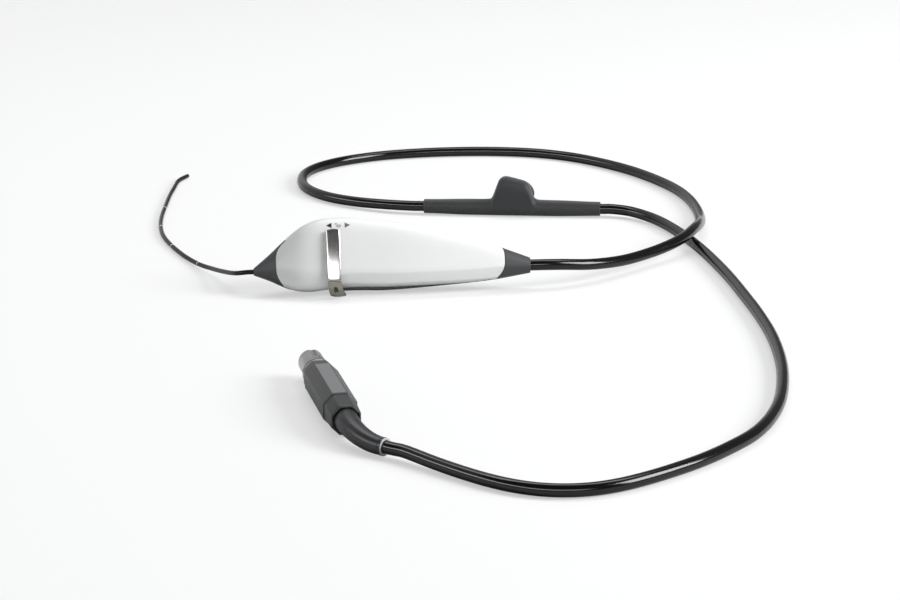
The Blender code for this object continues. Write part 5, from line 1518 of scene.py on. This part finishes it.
def finish(name, colour, roughness, metallic=0.0, coat=0.0, coat_roughness=0.1, tone=0.06, tone_scale=60.0,
           rough_change=0.08, relief="moulded grain", relief_scale=2500.0, depth=0.00002, strength=0.5,
           along=(1.0, 1.0, 1.0), specular=0.5, sheen=0.0):
    """A procedural material: cloudy tone and roughness, one relief, and a Principled shader."""
    paint = bpy.data.materials.new(name)
    paint.use_nodes = True
    tree = paint.node_tree
    shader = tree.nodes["Principled BSDF"]
    shader.inputs["Metallic"].default_value = metallic
    shader.inputs["Specular IOR Level"].default_value = specular
    shader.inputs["Sheen Weight"].default_value = sheen
    shader.inputs["Sheen Roughness"].default_value = SHEEN_ROUGHNESS
    shader.inputs["Coat Weight"].default_value = coat
    shader.inputs["Coat Roughness"].default_value = coat_roughness
    place = add(tree, "ShaderNodeTexCoord").outputs["Object"]
    clouds = grouped(tree, "handled tone", (
        ("Place", place), ("Colour", (*colour, 1.0)), ("Scale", tone_scale), ("Change", tone),
        ("Roughness", roughness), ("Roughness change", rough_change)))
    links = [("Place", place), ("Scale", relief_scale)]
    if relief == "fine lines":
        links.append(("Along", along))
    height = grouped(tree, relief, links)
    bump = add(tree, "ShaderNodeBump", (("Height", height.outputs["Height"]), ("Strength", strength),
                                        ("Distance", depth)))
    tree.links.new(clouds.outputs["Colour"], shader.inputs["Base Color"])
    tree.links.new(clouds.outputs["Roughness"], shader.inputs["Roughness"])
    tree.links.new(bump.outputs["Normal"], shader.inputs["Normal"])
    return paint


def grey(value, tint=(1.0, 1.0, 1.0)):
    """A grey as a colour, with a slight tint."""
    return tuple(value * part for part in tint)


COOL = (0.95, 0.985, 1.03)
print("a cool mid grey is", np.round(grey(0.5, COOL), 3))

# %% [markdown]
# The casing is a semi-gloss white, the cones, sleeve, plug and boot are soft greys, and the back
# shell is a fine matt near-black. The jackets are glossy black. The metals are satin and polished
# steel, a darker, browner copy of the lever's steel for the thumb plate, which is painted shade,
# a dark plated steel for the vent's socket, and brass. The plug's top plate and the boot's pale lip
# are painted light, and the dimple's dark olive is painted shade.

# %% The finishes
FINISH = {
    "white": finish("white casing", grey(0.84, (0.985, 1.0, 0.99)), 0.42, coat=0.1, tone=0.03,
                    tone_scale=25.0, relief_scale=1800.0, depth=0.000012, strength=0.25, specular=0.35),
    "dark": finish("dark casing", grey(0.045, COOL), 0.5, tone=0.2, relief_scale=2600.0, depth=0.00003),
    "cone": finish("soft grey cone", grey(0.045, (0.97, 0.99, 1.05)), 0.52, tone=0.12, relief_scale=3000.0,
                   depth=0.00003),
    "sleeve": finish("soft grey sleeve", grey(0.022, (0.94, 0.99, 1.06)), 0.55, tone=0.12,
                     relief_scale=3000.0, depth=0.00001, strength=0.3, specular=0.4, sheen=0.4),
    "plug": finish("plug grey", grey(0.036, (0.96, 1.0, 1.03)), 0.4, tone=0.1, relief_scale=2400.0,
                   depth=0.00002, specular=0.4),
    # painted light: this paler grey on the plug's top flat stands in for the light from above
    "plate": finish("painted top light", grey(0.17, (0.98, 0.99, 1.04)), 0.36, tone=0.08, tone_scale=140.0,
                    relief_scale=2400.0, depth=0.00001),
    "boot": finish("boot grey", grey(0.027, (0.95, 0.98, 1.07)), 0.36, tone=0.12, relief_scale=2200.0,
                   depth=0.00002, specular=0.4),
    # painted highlight: the pale grey of the boot ring's end lip
    "ring": finish("painted highlight lip", grey(0.5, COOL), 0.4, tone=0.1, depth=0.00001),
    "collar": finish("pale grey collar", grey(0.36, (1.0, 1.0, 0.98)), 0.32, 0.3, tone=0.08, depth=0.00001),
    "jacket": finish("black jacket", grey(0.0025, (0.95, 1.0, 1.1)), 0.15, tone=0.3, tone_scale=90.0,
                     rough_change=0.04, relief="jacket waves", relief_scale=45.0, depth=0.001, strength=0.25,
                     specular=0.42),
    "rubber": finish("bending rubber", grey(0.006, COOL), 0.42, tone=0.25, tone_scale=300.0,
                     relief_scale=6000.0, depth=0.00001, specular=0.3),
    # painted shade: the dimple's floor gets this dark olive in place of the shade in its hollow
    "dot": finish("painted dimple shade", (0.035, 0.036, 0.022), 0.45, tone=0.1, depth=0.000004),
    "steel": finish("satin steel", (0.40, 0.395, 0.39), 0.28, 1.0, tone=0.04, tone_scale=60.0,
                    rough_change=0.03, relief="fine lines", relief_scale=1500.0, depth=0.000001,
                    strength=0.1, along=(0.05, 1.0, 0.05)),
    "lever": finish("polished lever steel", (0.52, 0.505, 0.495), 0.2, 1.0, tone=0.04, tone_scale=90.0,
                    rough_change=0.03, relief="fine lines", relief_scale=1500.0, depth=0.000001,
                    strength=0.08, along=(1.0, 0.05, 0.05)),
    # painted shade: the lever's steel made darker and browner, for the dim, shadowed surroundings the thumb
    # plate mirrors
    "thumb": finish("thumb steel with painted shade", (0.30, 0.275, 0.25), 0.28, 1.0, tone=0.08, tone_scale=220.0,
                    rough_change=0.06, relief_scale=3800.0, depth=0.000006),
    "plated": finish("dark plated steel", grey(0.10, COOL), 0.34, 0.85, tone=0.12, tone_scale=200.0,
                     relief="fine lines", relief_scale=3000.0, depth=0.000004, along=(0.1, 1.0, 0.1)),
    "head": finish("dark tip steel", grey(0.045, COOL), 0.3, 0.7, tone=0.15, tone_scale=500.0,
                   relief_scale=6000.0, depth=0.000006),
    "brass": finish("turned brass", (0.70, 0.50, 0.24), 0.28, 1.0, tone=0.1, tone_scale=300.0,
                    relief="fine lines", relief_scale=3000.0, depth=0.000004, along=(0.1, 1.0, 0.1)),
    "gold": finish("plated contacts", (0.92, 0.68, 0.30), 0.2, 1.0, tone=0.06, tone_scale=600.0,
                   depth=0.000002),
    "board": finish("solder mask", (0.012, 0.11, 0.045), 0.3, coat=0.4, tone=0.25, tone_scale=400.0,
                    relief_scale=1500.0, depth=0.00003),
    "insulator": finish("contact insert", grey(0.02), 0.45, tone=0.2, relief_scale=3000.0, depth=0.00001),
    "black mark": finish("black print", grey(0.012), 0.5, tone=0.1, depth=0.000002),
    "mauve mark": finish("mauve print", (0.16, 0.125, 0.14), 0.5, tone=0.1, depth=0.000002),
}


def lens_glass():
    """Dark coated glass: a smooth tinted surface with a faint change in tint, and a clear coat."""
    paint = finish("lens glass", (0.02, 0.03, 0.05), 0.04, coat=1.0, coat_roughness=0.02, tone=0.5,
                   tone_scale=1500.0, rough_change=0.02, depth=0.000001, strength=0.1)
    paint.node_tree.nodes["Principled BSDF"].inputs["IOR"].default_value = 1.6
    return paint


FINISH["glass"] = lens_glass()
print(len(FINISH), "finishes")

# %% [markdown]
# The insertion tube's jacket is the same black, with four pale rings at steps of 50 mm that show
# how deep it is. The rings follow the tube's own length, which its UV map holds in metres, so they
# stay square to the tube round every bend.

# %% Depth rings on the tube
RING_STEP = 0.050
RING_WIDTH = 0.0011
RINGS = 4
TIP_TO_FIRST_RING = 0.0964
RING_COLOUR = (0.85, 0.86, 0.86, 1.0)
RINGED_SPECULAR = 0.16
NECK_TO_FACE = 0.0064
tip_length = float(np.linalg.norm(link_middles[-1] - np.array(tube_end))) + NECK_TO_FACE
tube_length = path_length(tube_path)
first_ring = tube_length + tip_length - TIP_TO_FIRST_RING


def ringed_jacket():
    """The black jacket with a pale colour wherever the length along the tube is near a ring's."""
    paint = FINISH["jacket"].copy()
    paint.name = "ringed jacket"
    tree = paint.node_tree
    shader = tree.nodes["Principled BSDF"]
    shader.inputs["Specular IOR Level"].default_value = RINGED_SPECULAR
    black = shader.inputs["Base Color"].links[0].from_socket
    surface = add(tree, "ShaderNodeUVMap", uv_map="surface").outputs["UV"]
    length = add(tree, "ShaderNodeSeparateXYZ", ((0, surface),)).outputs["Y"]
    mask = None
    for number in range(RINGS):
        near = maths(tree, "COMPARE", length, first_ring - number * RING_STEP, RING_WIDTH / 2.0)
        mask = near if mask is None else maths(tree, "MAXIMUM", mask, near)
    pale = add(tree, "ShaderNodeMix", (("Factor", mask), (6, black), (7, RING_COLOUR)), data_type="RGBA")
    tree.links.new(pale.outputs[2], shader.inputs["Base Color"])
    return paint


FINISH["ringed"] = ringed_jacket()
print("the ring nearest to the tip is", round(first_ring / MM, 1), "mm along the tube")

# %% [markdown]
# ## Which piece has which finish
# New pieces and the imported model's own pieces are both listed by finish, so that what shares a
# material stands together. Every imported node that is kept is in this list, also those inside the
# casing.

# %% Give each piece its finish
PIECES = {
    "white": [front_shell], "dark": [back_shell], "cone": [nose_cone, tail_cone],
    "sleeve": [port_sleeve], "plug": [plug_grip], "boot": [plug_boot, boot_ring], "ring": [boot_highlight_lip],
    "jacket": [front_cable, rear_cable], "ringed": [tube], "rubber": [*skins, collar_seal],
    "lever": [lever_arm], "thumb": [thumb_plate], "dot": [thumb_plate], "plated": [vent_socket],
    "collar": [plug_collar], "steel": [plug_nose], "plate": [grip_top_painted_light],
    "insulator": [plug_insert], "gold": [plug_insert], "black mark": [dark_marks],
    "mauve mark": [pale_marks],
}
KEPT = {
    "steel": ["lever_shaft", "shaft_clip", "chassis_plate", "cover_screw_1", "cover_screw_2", "cover_screw_3",
              "bend_collar", "vertebra_1", "vertebra_2", "vertebra_3", "vertebra_4", "vertebra_5",
              "pull_wire_up", "pull_wire_down", "vent_pin", "vent_spring", "lever_bush"],
    "brass": ["wire_drum", "wire_guide"], "head": ["distal_head"],
    "glass": ["objective_lens", "light_lens_left", "light_lens_right"], "board": ["circuit_board"],
    "insulator": ["board_connector"], "jacket": ["cable_lead"],
}
plug_insert.data.materials.clear()
for look, pieces in PIECES.items():
    for piece in pieces:
        piece.data.materials.append(FINISH[look])
# the dimple's floor faces take the second slot, the painted shade
thumb_plate.data.polygons.foreach_set("material_index", dimple_shade_faces.astype(np.int32))
for look, nodes in KEPT.items():
    for node in nodes:
        for slot in NODES[node].material_slots:
            slot.material = FINISH[look]
print(sum(len(pieces) for pieces in PIECES.values()), "new pieces and",
      sum(len(nodes) for nodes in KEPT.values()), "packed ones have their finish")

# %% [markdown]
# ## What each piece stands for, and what it moves with
# Each new piece stands for the imported solid listed beside it, rides on the body listed with it,
# and that solid is hidden. The printed marks, the seal, the painted-light plate and the boot's
# painted highlight lip stand for nothing: they ride along. The skin's sleeves have their place
# worked into their points.

# %% Bodies and replaced nodes
RIDES = (
    (front_shell, "root", "white_shell", "front_shell"), (back_shell, "root", "dark_shell", "back_shell"),
    (nose_cone, "root", "grey_cone", "nose_cone"), (tail_cone, "root", "grey_cone", "tail_cone"),
    (tube, "root", "black_jacket", "insertion_tube"), (front_cable, "root", "black_jacket", "cable_front"),
    (rear_cable, "root", "black_jacket", "cable_rear"), (lever_arm, "lever", "satin_steel", "lever_arm"),
    (thumb_plate, "lever", "satin_steel", "thumb_rest"), (port_sleeve, "root", "grey_cone", "port_housing"),
    (vent_socket, "root", "satin_steel", "vent_socket"), (plug_grip, "root", "plug_grey", "plug_grip"),
    (plug_collar, "root", "satin_steel", "plug_collar"), (plug_nose, "root", "satin_steel", "plug_nose"),
    (plug_boot, "root", "plug_grey", "plug_boot"), (boot_ring, "root", "plug_grey", "boot_ring"),
    (dark_marks, "root", None, None), (pale_marks, "root", None, None),
    (collar_seal, "root", "black_jacket", None), (grip_top_painted_light, "root", "plug_grey", None),
    (boot_highlight_lip, "root", "plug_grey", None), (plug_insert, "root", "dark_shell", "plug_insert"),
)
for piece, carrier, finish_slot, node in RIDES:
    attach(piece, carrier)
    if node:
        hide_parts(node)
for number, skin in enumerate(skins):
    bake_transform(skin)

# %% [markdown]
# ## The cords' facts
# Both stretches of cable and the tube show from end to end, so their lengths are the real ones.
# The tube ends in the bending tip, the first stretch in the sleeve, the second in the plug.

print("cords:", [round(path_length(path), 3) for path in (tube_path, front_path, rear_path)], "m")

# %% [markdown]
# ## Floor
# The floor is pale and wide enough to fill the picture. Stronger lamps would whiten it, but would
# wash out the casing too. So what the camera sees of the floor is partly a white of its own, and
# the rest of it still keeps the object's shadow.

# %% Floor
FLOOR_HALF = 6.0
FLOOR_HEIGHT = -0.0002
FLOOR_COLOUR = (0.70, 0.705, 0.71, 1.0)
FLOOR_ROUGHNESS = 0.85
FLOOR_GLOW = 0.4
FLOOR_WHITE = 1.27


def pale_floor():
    """A diffuse pale grey that is mixed with its own white where the camera sees it."""
    paint = bpy.data.materials.new("pale floor")
    paint.use_nodes = True
    tree = paint.node_tree
    shader = tree.nodes["Principled BSDF"]
    shader.inputs["Base Color"].default_value = FLOOR_COLOUR
    shader.inputs["Roughness"].default_value = FLOOR_ROUGHNESS
    path = add(tree, "ShaderNodeLightPath").outputs
    seen = maths(tree, "MAXIMUM", path["Is Camera Ray"], path["Is Transmission Ray"])
    share = maths(tree, "MULTIPLY", seen, FLOOR_GLOW)
    white = add(tree, "ShaderNodeEmission", (("Strength", FLOOR_WHITE),)).outputs[0]
    mixed = add(tree, "ShaderNodeMixShader", ((0, share), (1, shader.outputs[0]), (2, white)))
    tree.links.new(mixed.outputs[0], tree.nodes["Material Output"].inputs["Surface"])
    return paint


corners = [(x * FLOOR_HALF, y * FLOOR_HALF, FLOOR_HEIGHT) for x, y in ((-1, -1), (1, -1), (1, 1), (-1, 1))]
floor = mesh_piece("floor", corners, [(0, 1, 2, 3)])
floor.data.materials.append(pale_floor())
floor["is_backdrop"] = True
print("floor:", 2.0 * FLOOR_HALF, "m wide")

# %% [markdown]
# ## World
# The world is white to the camera and an even fill on every matt surface. A gloss surface mirrors a
# small studio in it instead: a pale backdrop low down, grey overhead and on the right, and a narrow
# bright band in front. So gloss black stays black with one thin highlight, and the lever shows both.

# %% World
WORLD_FILL = 0.25
OVERHEAD = 0.1
BACKDROP_LEAN = 0.9
BACKDROP_SIDE = (-0.1, 0.3)
BACKDROP_LEFT = 0.6
BACKDROP_RIGHT = 0.15
BAND_LOW = (0.25, 0.31)
BAND_HIGH = (0.38, 0.47)
BAND_BACK = (0.0, 0.4)
BAND_SIDE = (0.1, 0.6)
BAND_GLOW = 8.0
BACKDROP_TOP = 0.62
BACKDROP_FADE = 0.35


def smooth_change(tree, value, limits, start, end):
    """A change from start to end, with an ease at both, while the value goes from low to high."""
    low, high = limits
    links = (("Value", value), ("From Min", low), ("From Max", high), ("To Min", start), ("To Max", end))
    return add(tree, "ShaderNodeMapRange", links, interpolation_type="SMOOTHSTEP").outputs[0]


def either(tree, factor, off, on):
    """One value where the factor is 0, another where it is 1."""
    return add(tree, "ShaderNodeMix", (("Factor", factor), (2, off), (3, on)), data_type="FLOAT").outputs[0]


def studio_world():
    """White for camera rays and an even fill for the rest, but mirrored rays see a studio.

    Its pale backdrop fades out to the right and overhead, where it reaches higher behind than in
    front. A bright low band in front and on the left gives the cable its thin highlight.
    """
    world = bpy.data.worlds.new("studio")
    bpy.context.scene.world = world
    world.use_nodes = True
    tree = world.node_tree
    shader = tree.nodes["Background"]
    path = add(tree, "ShaderNodeLightPath").outputs
    way = add(tree, "ShaderNodeTexCoord").outputs["Generated"]
    side, back, height = add(tree, "ShaderNodeSeparateXYZ", ((0, way),)).outputs
    band = smooth_change(tree, height, BAND_LOW, 0.0, 1.0)
    for value, limits in ((height, BAND_HIGH), (back, BAND_BACK), (side, BAND_SIDE)):
        band = maths(tree, "MULTIPLY", band, smooth_change(tree, value, limits, 1.0, 0.0))
    low_down = smooth_change(tree, side, BACKDROP_SIDE, BACKDROP_LEFT, BACKDROP_RIGHT)
    lean = maths(tree, "MULTIPLY_ADD", back, -BACKDROP_LEAN, height)
    backdrop = smooth_change(tree, lean, (BACKDROP_FADE, BACKDROP_TOP), low_down, OVERHEAD)
    studio = maths(tree, "MULTIPLY_ADD", band, BAND_GLOW, backdrop)
    glossy = maths(tree, "MAXIMUM", path["Is Glossy Ray"], path["Is Transmission Ray"])
    lit = either(tree, glossy, WORLD_FILL, studio)
    tree.links.new(either(tree, path["Is Camera Ray"], lit, 1.0), shader.inputs["Strength"])
    shader.inputs["Color"].default_value = (1.0, 1.0, 1.0, 1.0)
    return world


print("world:", studio_world().name)

# %% [markdown]
# ## Lights
# A panel on the right makes the casing fade towards its nose, and one overhead, a little behind the
# object, lights the upper edges. Both are large, so the shadows have soft edges.

# %% Lights


def soft_panel(name, place, target, size, power):
    """A rectangular area light that faces a point."""
    lamp = bpy.data.lights.new(name, "AREA")
    lamp.shape = "RECTANGLE"
    lamp.size, lamp.size_y = size
    lamp.energy = power
    panel = bpy.data.objects.new(name, lamp)
    bpy.context.collection.objects.link(panel)
    panel.location = place
    panel.rotation_euler = (Vector(target) - Vector(place)).to_track_quat("-Z", "Y").to_euler()
    return panel


soft_panel("key_panel", (2.2, -0.7, 1.25), (0.0, 0.0, 0.0), (1.3, 1.3), 80.0)
soft_panel("top_panel", (0.1, 0.7, 1.9), (0.0, 0.0, 0.0), (2.2, 0.7), 20.0)
print("lights:", [light.name for light in bpy.data.lights])

# %% Write the sizes and finish
low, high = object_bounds()
print("dressed model:", [round(value, 4) for value in high - low])
